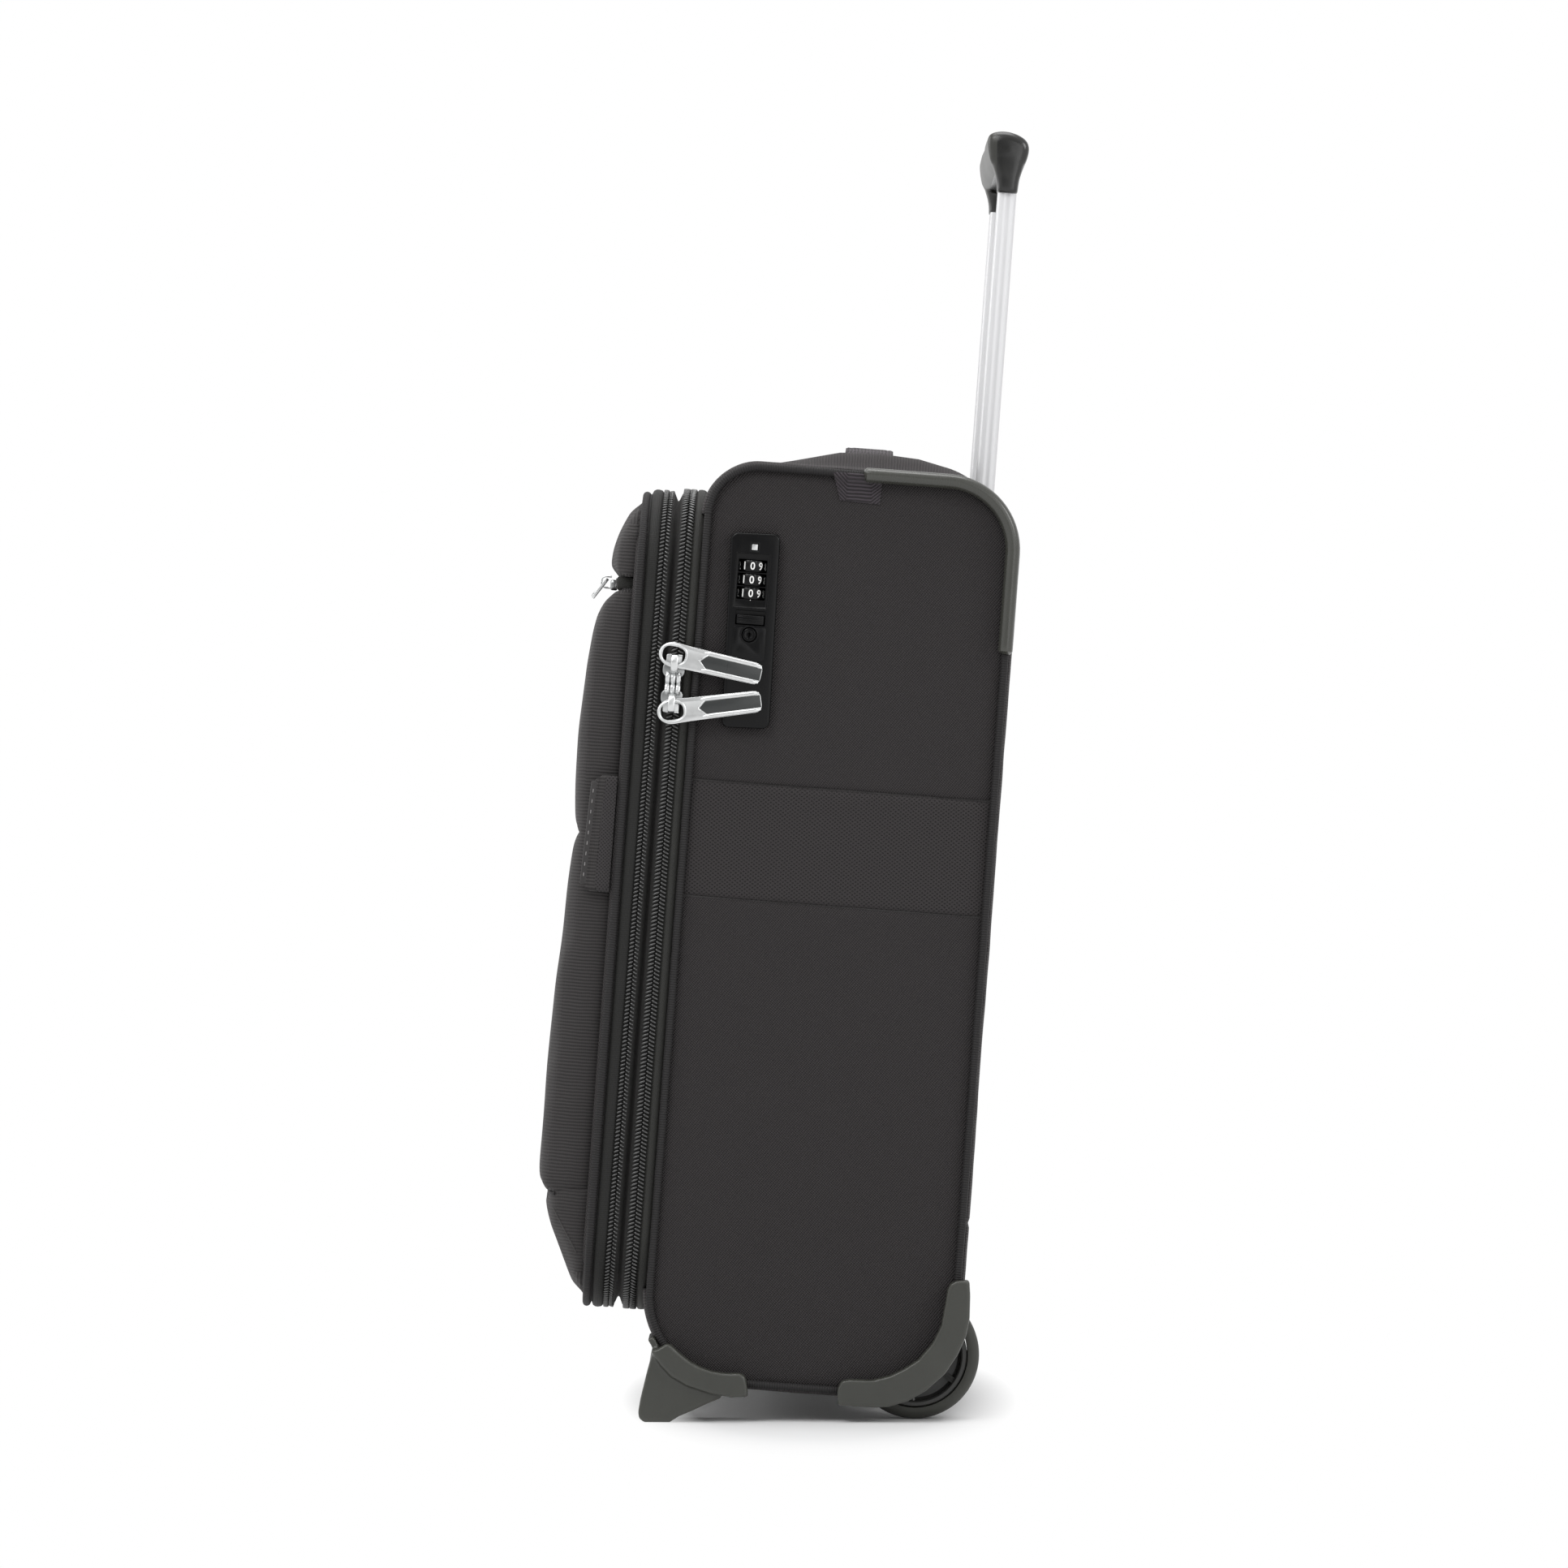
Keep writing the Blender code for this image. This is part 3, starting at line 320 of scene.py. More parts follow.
def metal(name, rgb, rough, brush, relief=0.00001, tone=0.10, matte=0.0):
    """Brushed metal; brush stretches the lines, tone is how much darker they get."""
    mat = new_material(name)
    vector = mat.case_coords()
    lines = mat.noise(vector, scale=25.0, detail=4.0, rough=0.7, stretch=brush)
    spots = mat.noise(vector, scale=70.0, detail=3.0)
    color = mat.mix(mat.remap(lines, (0.3, 0.7), (0, 1)), scaled(rgb, 1 - tone), rgb)
    roughness = mat.varied(rough, mat.plus(mat.centred(lines, 0.12), mat.centred(spots, 0.10)))
    normal = mat.bump(lines, distance=relief, strength=0.5)
    return mat.finish(mat.surface(color, roughness, normal, metallic=1.0 - matte))


def grip_material():
    """Two mouldings: glossy black at the back, satin grey-green at the front."""
    mat = new_material("grip_two_tone")
    vector = mat.case_coords()
    _, y, z = mat.split(vector)
    # the parting line slopes with height
    parting = mat.plus(0.0615, mat.times(mat.calc("SUBTRACT", 0.7330, z), 0.075))
    behind = mat.calc("SUBTRACT", y, parting)
    back = mat.remap(behind, (-0.0002, 0.0002), (0.0, 1.0))
    line = mat.remap(mat.calc("ABSOLUTE", behind), (0.0, 0.0005), (1.0, 0.0))
    grain = mat.noise(vector, scale=1500.0, detail=3.0)
    streak = mat.noise(vector, scale=60.0, detail=4.0, rough=0.7, stretch=(6.0, 1.0, 1.0))
    color = mat.mix(back, (0.0180, 0.0180, 0.0145), (0.0060, 0.0060, 0.0055))
    worn = mat.times(mat.remap(streak, (0.55, 0.8), (0, 1)), 0.25)
    color = mat.mix(worn, color, (0.05, 0.05, 0.045))
    color = mat.mix(line, color, (0.002, 0.002, 0.002))
    roughness = mat.varied(mat.mix_value(back, 0.36, 0.24), mat.centred(streak, 0.08))
    normal = mat.bump(grain, distance=0.00001, strength=0.5)
    return mat.finish(mat.surface(color, roughness, normal, spec=0.62))


CHARCOAL = (0.0262, 0.0232, 0.0238)
POCKET_GREY = (0.0325, 0.0300, 0.0300)
MAT = {
    "side": weave("cloth_side", CHARCOAL, pitch=0.00160, kind="dots", contrast=0.95,
                  relief=0.00085, sheen=0.08),
    "gusset": weave("cloth_gusset", scaled(CHARCOAL, 1.05), pitch=0.00160, kind="ribs",
                    contrast=0.60, relief=0.00040, sheen=0.08),
    "band": weave("cloth_waist_band", scaled(CHARCOAL, 0.70), pitch=0.00215, kind="holes",
                  contrast=0.85, relief=0.00070, aspect=1.30, sheen=0.08),
    "pocket": weave("cloth_pocket", POCKET_GREY, pitch=0.00185, kind="ribs", contrast=0.60,
                    relief=0.00045, sheen=0.08),
    "pocket_front": weave("cloth_pocket_front", POCKET_GREY, pitch=0.00185, kind="ribs",
                          contrast=0.55, relief=0.00040, sheen=0.08),
    "webbing": weave("webbing_ribbed", (0.0310, 0.0255, 0.0300), pitch=0.00195,
                     kind="grosgrain", contrast=0.95, relief=0.00130, rough=0.66),
    "mesh": weave("mesh_band", (0.0225, 0.0205, 0.0210), pitch=0.00200, kind="holes",
                  contrast=0.90, relief=0.00070),
    "tape": weave("zip_tape_herringbone", (0.0200, 0.0200, 0.0178), pitch=0.00090,
                  kind="herring", contrast=0.30, relief=0.00016, rough=0.62, aspect=2.6),
    "piping": weave("piping_cloth", (0.0108, 0.0098, 0.0102), pitch=0.00140,
                    kind="grosgrain", contrast=0.45, relief=0.00035, rough=0.66, sheen=0.03),
    "olive_band": weave("lid_band_cloth", (0.0085, 0.0084, 0.0077), pitch=0.00110,
                        kind="plain", contrast=0.35, relief=0.00020, rough=0.66, sheen=0.03),
    "lining": weave("lining_cloth", (0.105, 0.105, 0.112), pitch=0.00060, kind="plain",
                    contrast=0.18, relief=0.00008, rough=0.6, sheen=0.2),
    "lining_net": weave("lining_net", (0.070, 0.070, 0.075), pitch=0.00240, kind="holes",
                        contrast=0.55, relief=0.00050, rough=0.6),
    "stitch": weave("stitch_thread", (0.030, 0.028, 0.028), pitch=0.00040,
                    kind="grosgrain", contrast=0.4, relief=0.00008, rough=0.6),
    "thread": weave("thread_grey", (0.22, 0.21, 0.21), pitch=0.00040, kind="grosgrain",
                    contrast=0.3, relief=0.00008, rough=0.6),
    "label": weave("plain_strip_cloth", (0.050, 0.047, 0.046), pitch=0.00050, kind="plain",
                   contrast=0.2, relief=0.00008, rough=0.7),
    "moulded": plastic("moulded_plastic", (0.0360, 0.0365, 0.0312), rough=0.27, spec=0.6),
    "housing": plastic("housing_plastic", (0.0380, 0.0390, 0.0332), rough=0.36),
    "tyre": plastic("tyre_rubber", (0.0340, 0.0345, 0.0300), rough=0.60, grain=900.0,
                    relief=0.00006, wear=0.35, spec=0.35),
    "rim": plastic("rim_plastic", (0.0220, 0.0220, 0.0205), rough=0.40),
    "lock": plastic("lock_plastic", (0.0030, 0.0030, 0.0033), rough=0.24, grain=2400.0,
                    relief=0.00002, wear=0.1, spec=0.20),
    "lock_dark": plastic("lock_recess", (0.0060, 0.0060, 0.0063), rough=0.45,
                         grain=2400.0, relief=0.00002, wear=0.1),
    "coil": plastic("coil_nylon", (0.0150, 0.0150, 0.0145), rough=0.16, grain=3000.0,
                    relief=0.00001, wear=0.15, coat=0.5, spec=0.7),
    "coil_tape": weave("coil_tape_dark", (0.0120, 0.0118, 0.0110), pitch=0.00080,
                       kind="herring", contrast=0.25, relief=0.00012, rough=0.6, aspect=2.2),
    "inlay": plastic("puller_inlay", (0.0230, 0.0250, 0.0250), rough=0.30, grain=2400.0,
                     relief=0.00002, wear=0.15),
    "digit": plastic("dial_white", (0.80, 0.80, 0.78), rough=0.45, grain=1500.0,
                     relief=0.00001, wear=0.1),
    "alu": metal("tube_aluminium", (0.70, 0.70, 0.71), rough=0.40, brush=(20.0, 20.0, 1.0),
                 relief=0.000004, tone=0.05, matte=0.72),
    "zinc": metal("cast_zinc", (0.76, 0.77, 0.77), rough=0.32, brush=(8.0, 8.0, 8.0),
                  relief=0.00002, tone=0.12),
    "steel": metal("plated_steel", (0.55, 0.55, 0.56), rough=0.30, brush=(20.0, 20.0, 3.0)),
    "slider_dark": metal("slider_tumbled", (0.42, 0.43, 0.43), rough=0.30,
                         brush=(8.0, 8.0, 8.0), relief=0.00002, tone=0.2),
    "grip": grip_material(),
}


# ================================================================ mesh basics
def new_mesh(name, verts, faces):
    mesh = bpy.data.meshes.new(name)
    mesh.from_pydata(verts, [], faces)
    mesh.update()
    return mesh


def new_object(name, data):
    obj = bpy.data.objects.new(name, data)
    bpy.context.scene.collection.objects.link(obj)
    return obj


def evaluated(obj):
    bpy.context.view_layer.update()
    return obj.evaluated_get(bpy.context.evaluated_depsgraph_get())


def read_vectors(items, key="co"):
    values = np.zeros(len(items) * 3)
    items.foreach_get(key, values)
    return values.reshape(-1, 3)


def loop_vertices(mesh):
    index = np.zeros(len(mesh.loops), int)
    mesh.loops.foreach_get("vertex_index", index)
    return index


def box_uv(mesh, turn=Matrix()):
    """Metre-true box mapping in the case's frame; turn brings the mesh there."""
    layer = mesh.uv_layers.get("cloth") or mesh.uv_layers.new(name="cloth")
    turn = np.array(turn)
    points = read_vectors(mesh.vertices) @ turn[:3, :3].T + turn[:3, 3]
    normals = read_vectors(mesh.polygons, "normal") @ turn[:3, :3].T
    corners = np.zeros(len(mesh.polygons), int)
    mesh.polygons.foreach_get("loop_total", corners)
    axis = np.repeat(np.abs(normals).argmax(1), corners)[:, None]
    points = points[loop_vertices(mesh)]
    along_z = np.where(axis == 1, points[:, [0, 2]], points[:, [0, 1]])
    uvs = np.where(axis == 0, points[:, [1, 2]], along_z)
    layer.data.foreach_set("uv", uvs.ravel())


def fix_normals(mesh):
    work = bmesh.new()
    work.from_mesh(mesh)
    bmesh.ops.recalc_face_normals(work, faces=work.faces)
    work.to_mesh(mesh)
    work.free()


def remove_loose(mesh):
    work = bmesh.new()
    work.from_mesh(mesh)
    loose = [vert for vert in work.verts if not vert.link_faces]
    bmesh.ops.delete(work, geom=loose, context="VERTS")
    work.to_mesh(mesh)
    work.free()


def register(obj, body=None, replaces=None):
    """Records the body a piece rides on and the CAD piece it stands in for."""
    if body:
        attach(obj, body)
    if replaces:
        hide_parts(replaces)


def dress(obj, mat, body=None, slot=None, replaces=None, smooth=35):
    """Material, smoothing (sharp above the angle in degrees) and registration."""
    mesh = obj.data
    mesh.materials.clear()
    mesh.materials.append(MAT[mat])
    mesh.shade_smooth()
    mesh.set_sharp_from_angle(angle=radians(smooth))
    register(obj, body, replaces)
    return obj


def map_and_dress(obj, *args, **options):
    """Dresses a finished piece that already stands in the world."""
    box_uv(obj.data, TO_LOCAL)
    return dress(obj, *args, **options)


def place(name, mesh, *args, **options):
    """Leans a mesh drawn in the case's frame back, and dresses it as an object."""
    mesh.transform(TO_WORLD)
    return dress(new_object(name, mesh), *args, **options)


def add(name, verts, faces, mat, body=None, slot=None, replaces=None, uvs=None, smooth=35):
    """Piece from points and faces; uvs are per vertex in metres, or None for box mapping."""
    mesh = new_mesh(name, verts, faces)
    if uvs is None:
        box_uv(mesh)
    else:
        layer = mesh.uv_layers.new(name="cloth")
        layer.data.foreach_set("uv", np.asarray(uvs, float)[loop_vertices(mesh)].ravel())
    return place(name, mesh, mat, body, slot, replaces, smooth)


def add_solid(*args, **options):
    obj = add(*args, **options)
    fix_normals(obj.data)
    return obj


def add_modifier(obj, kind, **settings):
    modifier = obj.modifiers.new(kind.lower(), kind)
    for key, value in settings.items():
        setattr(modifier, key, value)
    return modifier


def apply_modifiers(obj):
    source = evaluated(obj)
    mesh = bpy.data.meshes.new_from_object(
        source, preserve_all_data_layers=True,
        depsgraph=bpy.context.evaluated_depsgraph_get())
    old = obj.data
    materials = list(old.materials)
    obj.modifiers.clear()
    obj.data = mesh
    mesh.materials.clear()
    for material in materials:
        mesh.materials.append(material)
    bpy.data.meshes.remove(old)


def modify(obj, kind, **settings):
    add_modifier(obj, kind, **settings)
    apply_modifiers(obj)


def combine(obj, tools, operation="DIFFERENCE"):
    """Boolean of a piece with each tool in turn; the tools are used up."""
    for tool in tools:
        modify(obj, "BOOLEAN", operation=operation, solver="EXACT", object=tool)
        bpy.data.objects.remove(tool, do_unlink=True)


def sheet(name, verts, faces, uvs, mat, slot, thick, body=None, replaces=None, offset=-1,
          prepare=None):
    """Cloth given thickness; prepare works on the flat mesh first."""
    obj = add(name, verts, faces, mat, slot=slot, uvs=uvs, smooth=60)
    if prepare:
        prepare(obj.data)
    modify(obj, "SOLIDIFY", thickness=thick, offset=offset)
    register(obj, body, replaces)
    return obj


def mirror_x(obj, name, body="case", replaces=None):
    """A copy of a finished piece on the other side of the case."""
    mesh = obj.data.copy()
    mesh.name = name
    mesh.transform(Matrix.Diagonal((-1, 1, 1, 1)))
    mesh.flip_normals()
    register(new_object(name, mesh), body, replaces)


def grid_faces(rows, cols):
    return [(i * cols + j, i * cols + j + 1, (i + 1) * cols + j + 1, (i + 1) * cols + j)
            for i in range(rows - 1) for j in range(cols - 1)]


def grid_points(rows, cols, spot):
    """Points and uvs that spot(row fraction, column fraction) gives over a grid."""
    pairs = [spot(i / (rows - 1), j / (cols - 1)) for i in range(rows) for j in range(cols)]
    return [point for point, _ in pairs], [uv for _, uv in pairs]


def loft_faces(rings, sides, start=0, closed=False, capped=True):
    """Quads that join rings of points, with end caps when the run is open."""
    faces = []
    for i in range(rings if closed else rings - 1):
        here, there = start + i * sides, start + (i + 1) % rings * sides
        for j in range(sides):
            k = (j + 1) % sides
            faces.append((here + j, here + k, there + k, there + j))
    if capped and not closed:
        last = start + (rings - 1) * sides
        faces.append(tuple(range(start, start + sides))[::-1])
        faces.append(tuple(range(last, last + sides)))
    return faces


# ================================================================ flat outlines
def rounded(corners, steps=6):
    """Closed outline from corners (a, b, radius)."""
    out = []
    count = len(corners)
    for i in range(count):
        corner = Vector(corners[i][:2])
        radius = corners[i][2]
        before = (Vector(corners[i - 1][:2]) - corner).normalized()
        after = (Vector(corners[(i + 1) % count][:2]) - corner).normalized()
        half = before.angle(after) / 2
        centre = corner + (before + after).normalized() * (radius / sin(half))
        first = corner + before * (radius / math.tan(half)) - centre
        last = corner + after * (radius / math.tan(half)) - centre
        start = math.atan2(first.y, first.x)
        turn = (math.atan2(last.y, last.x) - start + pi) % tau - pi
        for k in range(steps + 1):
            angle = start + turn * k / steps
            out.append((centre.x + radius * cos(angle), centre.y + radius * sin(angle)))
    return out


def round_rect(a0, a1, b0, b1, radius, steps=5):
    return rounded([(a0, b0, radius), (a1, b0, radius), (a1, b1, radius), (a0, b1, radius)],
                   steps)


def circle(radius, count, centre_a=0.0, centre_b=0.0):
    return [(centre_a + radius * cos(tau * k / count), centre_b + radius * sin(tau * k / count))
            for k in range(count)]


def superellipse(count, power_a, power_b):
    """Unit loop; smaller powers make it squarer."""
    loop = []
    for k in range(count):
        a, b = cos(tau * k / count), sin(tau * k / count)
        loop.append((math.copysign(abs(a) ** power_a, a), math.copysign(abs(b) ** power_b, b)))
    return loop


def arc(centre_a, centre_b, radius, start, end, steps):
    """Arc between two angles in degrees."""
    angles = [radians(start + (end - start) * k / steps) for k in range(steps + 1)]
    return [(centre_a + radius * cos(t), centre_b + radius * sin(t)) for t in angles]


def body_outline(inset, steps):
    """Side view of the body: (y, z)."""
    corners = ((-1, TOP - inset, FRONT_TOP_R), (1, TOP - inset, BACK_TOP_R),
               (1, BOTTOM + inset, BACK_BOTTOM_R), (-1, BOTTOM + inset, FRONT_BOTTOM_R))
    return rounded([(side * (HALF_DEPTH - inset), z, radius - inset)
                    for side, z, radius in corners], steps)


def lid_outline(inset, steps):
    """Front view of the lid: (x, z)."""
    return round_rect(-LID_X + inset, LID_X - inset, LID_BOTTOM + inset, LID_TOP - inset,
                      LID_R - inset, steps)


def lid_path(steps=14, above=0.0034, below=0.0020):
    """Outline of the lid's bands, a touch proud over its top and foot."""
    return round_rect(-LID_X, LID_X, LID_BOTTOM - below, LID_TOP + above, LID_R, steps)


def resample(path, step, closed=True):
    """Even spacing along a flat polyline: points, their lengths along it, total length."""
    points = [Vector(point) for point in path]
    if closed:
        points = points + [points[0]]
    spans = [(points[i + 1] - points[i]).length for i in range(len(points) - 1)]
    total = sum(spans)
    count = max(3, round(total / step))
    out, lengths = [], []
    j, passed = 0, 0.0
    for k in range(count if closed else count + 1):
        along = total * k / count
        while j < len(spans) - 1 and passed + spans[j] < along - 1e-12:
            passed += spans[j]
            j += 1
        part = (along - passed) / spans[j] if spans[j] > 1e-12 else 0.0
        out.append(points[j].lerp(points[j + 1], min(1.0, max(0.0, part))))
        lengths.append(along)
    return out, lengths, total


def normals_of(points, closed=True):
    """Left-hand normals of a flat polyline (outward when it runs clockwise)."""
    out = []
    count = len(points)
    for i in range(count):
        before = points[i - 1] if (closed or i > 0) else points[i]
        after = points[(i + 1) % count] if (closed or i < count - 1) else points[i]
        along = (after - before).normalized()
        out.append(Vector((-along.y, along.x)))
    return out


def spline(points, per_span=6, closed=False):
    """Smooth curve through flat points."""
    count = len(points)
    curve = []
    for i in range(count if closed else count - 1):
        spots = [(i + k) % count if closed else max(0, min(count - 1, i + k))
                 for k in (-1, 0, 1, 2)]
        before, start, end, after = (Vector(points[k]) for k in spots)
        for k in range(per_span):
            t = k / per_span
            curve.append(0.5 * ((2 * start) + (end - before) * t
                                + (2 * before - 5 * start + 4 * end - after) * t * t
                                + (3 * start - before - 3 * end + after) * t ** 3))
    if not closed:
        curve.append(Vector(points[-1]))
    return curve


def spaced(start, stop, coarse=0.0030, fine=0.0004, fine_start=True):
    """Values from start to stop, closer together near the stop and, if asked, the start."""
    out = [start]
    while out[-1] < stop - 1e-9:
        x = out[-1]
        step = min(coarse, max(fine, (stop - x) * 0.18))
        if fine_start:
            step = min(step, (x - start) * 0.22 + fine)
        out.append(min(stop, x + step))
    return out


def smoothstep(low, high, x):
    t = min(1.0, max(0.0, (x - low) / (high - low)))
    return t * t * (3 - 2 * t)


# ================================================================ solid builders
def sweep(name, path, section, plane, mat, body, slot, replaces=None, closed=True, step=0.002,
          flat_ends=0.0, wobble=0.0, smooth=40):
    """Sweeps a section (outward in the plane, position on the third axis) along a path.

    plane is "yz" or "xz"; flat_ends tapers the ends of an open run over that length.
    """
    points, lengths, total = resample(path, step, closed)
    side = -1 if plane == "xz" else 1            # the lid's outlines run the other way round
    sides, count = len(section), len(points)
    mid_out = sum(spot[0] for spot in section) / sides
    mid_across = sum(spot[1] for spot in section) / sides
    verts = []
    for point, normal, along in zip(points, normals_of(points, closed), lengths):
        size = 1.0
        from_end = min(along, total - along)
        if not closed and from_end < flat_ends:
            size = 0.55 + 0.45 * sqrt(max(0.0, 1 - (1 - from_end / flat_ends) ** 2))
        wave = wobble * noise.noise(Vector((along * 160.0, 0, 0.3))) if wobble else 0.0
        for out, across in section:
            out = (mid_out + (out - mid_out) * size) * side + wave
            across = mid_across + (across - mid_across) * size
            a, b = point.x + normal.x * out, point.y + normal.y * out
            verts.append((across, a, b) if plane == "yz" else (a, across, b))
    girth = [0.0]
    for i in range(sides):
        girth.append(girth[-1] + math.dist(section[(i + 1) % sides], section[i]))
    if closed:
        lengths = lengths + [total]
    uvs = []
    for v0, v1 in zip(lengths, lengths[1:]):
        for u0, u1 in zip(girth, girth[1:]):
            uvs += [(u0, v0), (u1, v0), (u1, v1), (u0, v1)]
    if not closed:
        cap = [(spot[0], spot[1]) for spot in section]
        uvs += cap[::-1] + cap
    mesh = new_mesh(name, verts, loft_faces(count, sides, closed=closed))
    mesh.uv_layers.new(name="cloth").data.foreach_set("uv", np.array(uvs, float).ravel())
    fix_normals(mesh)
    return place(name, mesh, mat, body, slot, replaces, smooth)


def prism_object(name, rings, plane, low, high, bevel=0.0, steps=2):
    """Flat outline (with holes) given thickness, still in the case's frame."""
    if isinstance(rings[0][0], float):
        rings = [rings]
    curve = bpy.data.curves.new(name, "CURVE")
    curve.dimensions = "2D"
    curve.fill_mode = "BOTH"
    curve.extrude = abs(high - low) / 2
    for ring in rings:
        line = curve.splines.new("POLY")
        line.points.add(len(ring) - 1)
        for point, (a, b) in zip(line.points, ring):
            point.co = (a, b, 0, 1)
        line.use_cyclic_u = True
    flat = new_object(name + "_outline", curve)
    mesh = bpy.data.meshes.new_from_object(evaluated(flat))
    bpy.data.objects.remove(flat, do_unlink=True)
    bpy.data.curves.remove(curve)
    mid = (low + high) / 2
    mesh.transform({
        "yz": Matrix(((0, 0, 1, mid), (1, 0, 0, 0), (0, 1, 0, 0), (0, 0, 0, 1))),
        "xz": Matrix(((1, 0, 0, 0), (0, 0, -1, mid), (0, 1, 0, 0), (0, 0, 0, 1))),
        "xy": Matrix(((1, 0, 0, 0), (0, 1, 0, 0), (0, 0, 1, mid), (0, 0, 0, 1)))}[plane])
    work = bmesh.new()
    work.from_mesh(mesh)
    bmesh.ops.remove_doubles(work, verts=work.verts, dist=1e-7)
    bmesh.ops.dissolve_limit(work, angle_limit=0.001, verts=work.verts, edges=work.edges)
    bmesh.ops.recalc_face_normals(work, faces=work.faces)
    if bevel:
        edges = [edge for edge in work.edges
                 if len(edge.link_faces) == 2 and edge.calc_face_angle(0) > radians(50)]
        bmesh.ops.bevel(work, geom=edges, offset=bevel, segments=steps, profile=0.5,
                        affect="EDGES", clamp_overlap=True)
    work.to_mesh(mesh)
    work.free()
    mesh.name = name
    box_uv(mesh)
    return new_object(name, mesh)


def prism(name, rings, plane, low, high, mat, body, slot, bevel=0.0, steps=2, replaces=None,
          smooth=35, turn=None):
    obj = prism_object(name, rings, plane, low, high, bevel, steps)
    if turn is not None:
        obj.data.transform(turn)
    obj.data.transform(TO_WORLD)
    return dress(obj, mat, body, slot, replaces, smooth)


def box(name, x_span, y_span, z_span, mat, body, slot, bevel, steps, replaces=None, turn=None):
    """Box with rounded edges between three (low, high) spans."""
    spans = (x_span, y_span, z_span)
    work = bmesh.new()
    bmesh.ops.create_cube(work, size=1.0)
    work.transform(Matrix.Translation([(low + high) / 2 for low, high in spans])
                   @ Matrix.Diagonal([high - low for low, high in spans] + [1]))
    if bevel:
        bmesh.ops.bevel(work, geom=work.edges[:], offset=bevel, segments=steps, profile=0.5,
                        affect="EDGES", clamp_overlap=True)
    bmesh.ops.recalc_face_normals(work, faces=work.faces)
    mesh = bpy.data.meshes.new(name)
    work.to_mesh(mesh)
    work.free()
    box_uv(mesh)
    if turn is not None:
        mesh.transform(turn)
    return place(name, mesh, mat, body, slot, replaces)


def box_tool(x_span, y_span, z_span, bevel=0.0, steps=1):
    """Box for a boolean."""
    return box("tool", x_span, y_span, z_span, "lock_dark", None, None, bevel, steps)


def lathe(name, profile, mat, body, centre, count, slot=None, replaces=None):
    """Closed profile (radius, x) turned about the x axis through centre."""
    sides = len(profile)
    verts, faces = [], []
    for i in range(count):
        angle = tau * i / count
        after = (i + 1) % count
        for radius, x in profile:
            verts.append((centre[0] + x, centre[1] + radius * cos(angle),
                          centre[2] + radius * sin(angle)))
        for j in range(sides):
            k = (j + 1) % sides
            faces.append((i * sides + j, after * sides + j, after * sides + k, i * sides + k))
    mesh = new_mesh(name, verts, faces)
    fix_normals(mesh)
    box_uv(mesh)
    return place(name, mesh, mat, body, slot, replaces, 30)


def cord(name, path, radius, mat, body, slot, closed=False, sides=7):
    """Round cord along 3D points."""
    count = len(path)
    points = [Vector(point) for point in path]
    verts, uvs = [], []
    guide = Vector((0.31, 0.52, 0.79)).normalized()
    length = 0.0
    for i in range(count):
        before = points[(i - 1) % count] if (closed or i) else points[i]
        after = points[(i + 1) % count] if (closed or i < count - 1) else points[i]
        along = (after - before).normalized()
        first = along.cross(guide).normalized()
        second = along.cross(first)
        if i:
            length += (points[i] - points[i - 1]).length
        for j in range(sides):
            angle = tau * j / sides
            verts.append(tuple(points[i] + (first * cos(angle) + second * sin(angle)) * radius))
            uvs.append((j / sides * tau * radius, length))
    return add_solid(name, verts, loft_faces(count, sides, closed=closed), mat, body, slot,
                     uvs=uvs, smooth=60)


# ================================================================ side panels
def edge_distance(y, z):
    """Distance inside the body outline."""
    if z > (TOP + BOTTOM) / 2:
        radius = FRONT_TOP_R if y < 0 else BACK_TOP_R
    else:
        radius = FRONT_BOTTOM_R if y < 0 else BACK_BOTTOM_R
    over_y = abs(y) - HALF_DEPTH + radius
    over_z = abs(z - (TOP + BOTTOM) / 2) - (TOP - BOTTOM) / 2 + radius
    return -(min(max(over_y, over_z), 0) + math.hypot(max(over_y, 0), max(over_z, 0)) - radius)


SHEET_INSET = 0.0010


def depth_range(z):
    """Front and back ends of the side panel at height z."""
    out = []
    for side, top, bottom in ((-1, FRONT_TOP_R, FRONT_BOTTOM_R), (1, BACK_TOP_R, BACK_BOTTOM_R)):
        if TOP - top < z:
            radius, past = top, z - (TOP - top)
        elif z < BOTTOM + bottom:
            radius, past = bottom, (BOTTOM + bottom) - z
        else:
            out.append(side * (HALF_DEPTH - SHEET_INSET))
            continue
        past = min(radius - SHEET_INSET, past)
        reach = sqrt(max(0, (radius - SHEET_INSET) ** 2 - past * past))
        out.append(side * (HALF_DEPTH - radius + reach))
    return out


def side_height(y, z, seams, seed, bulge, top):
    """How far the cloth stands out: sunk at the edge and seams, slightly uneven."""
    inside = max(edge_distance(y, z), 0)
    height = -0.0024 * exp(-inside / 0.0036)
    nearest = 9.0
    for seam in seams:
        gap = abs(z - seam)
        nearest = min(nearest, gap)
        height -= 0.0021 * exp(-gap / 0.0009) + 0.0005 * exp(-gap / 0.007)
    height += 0.00030 * (noise.noise(Vector((y * 22, z * 13, seed))) - 0.2)
    height += (0.00022 * noise.noise(Vector((y * 95, z * 30, seed + 5)))
               * exp(-nearest / 0.010))
    height += (0.00022 * noise.noise(Vector((y * 110, z * 110, seed + 9)))
               * exp(-inside / 0.010))
    height += bulge * exp(-((z - (top - 0.006)) / 0.006) ** 2) * (1 - exp(-inside / 0.006))
    return min(height, 0.0002)


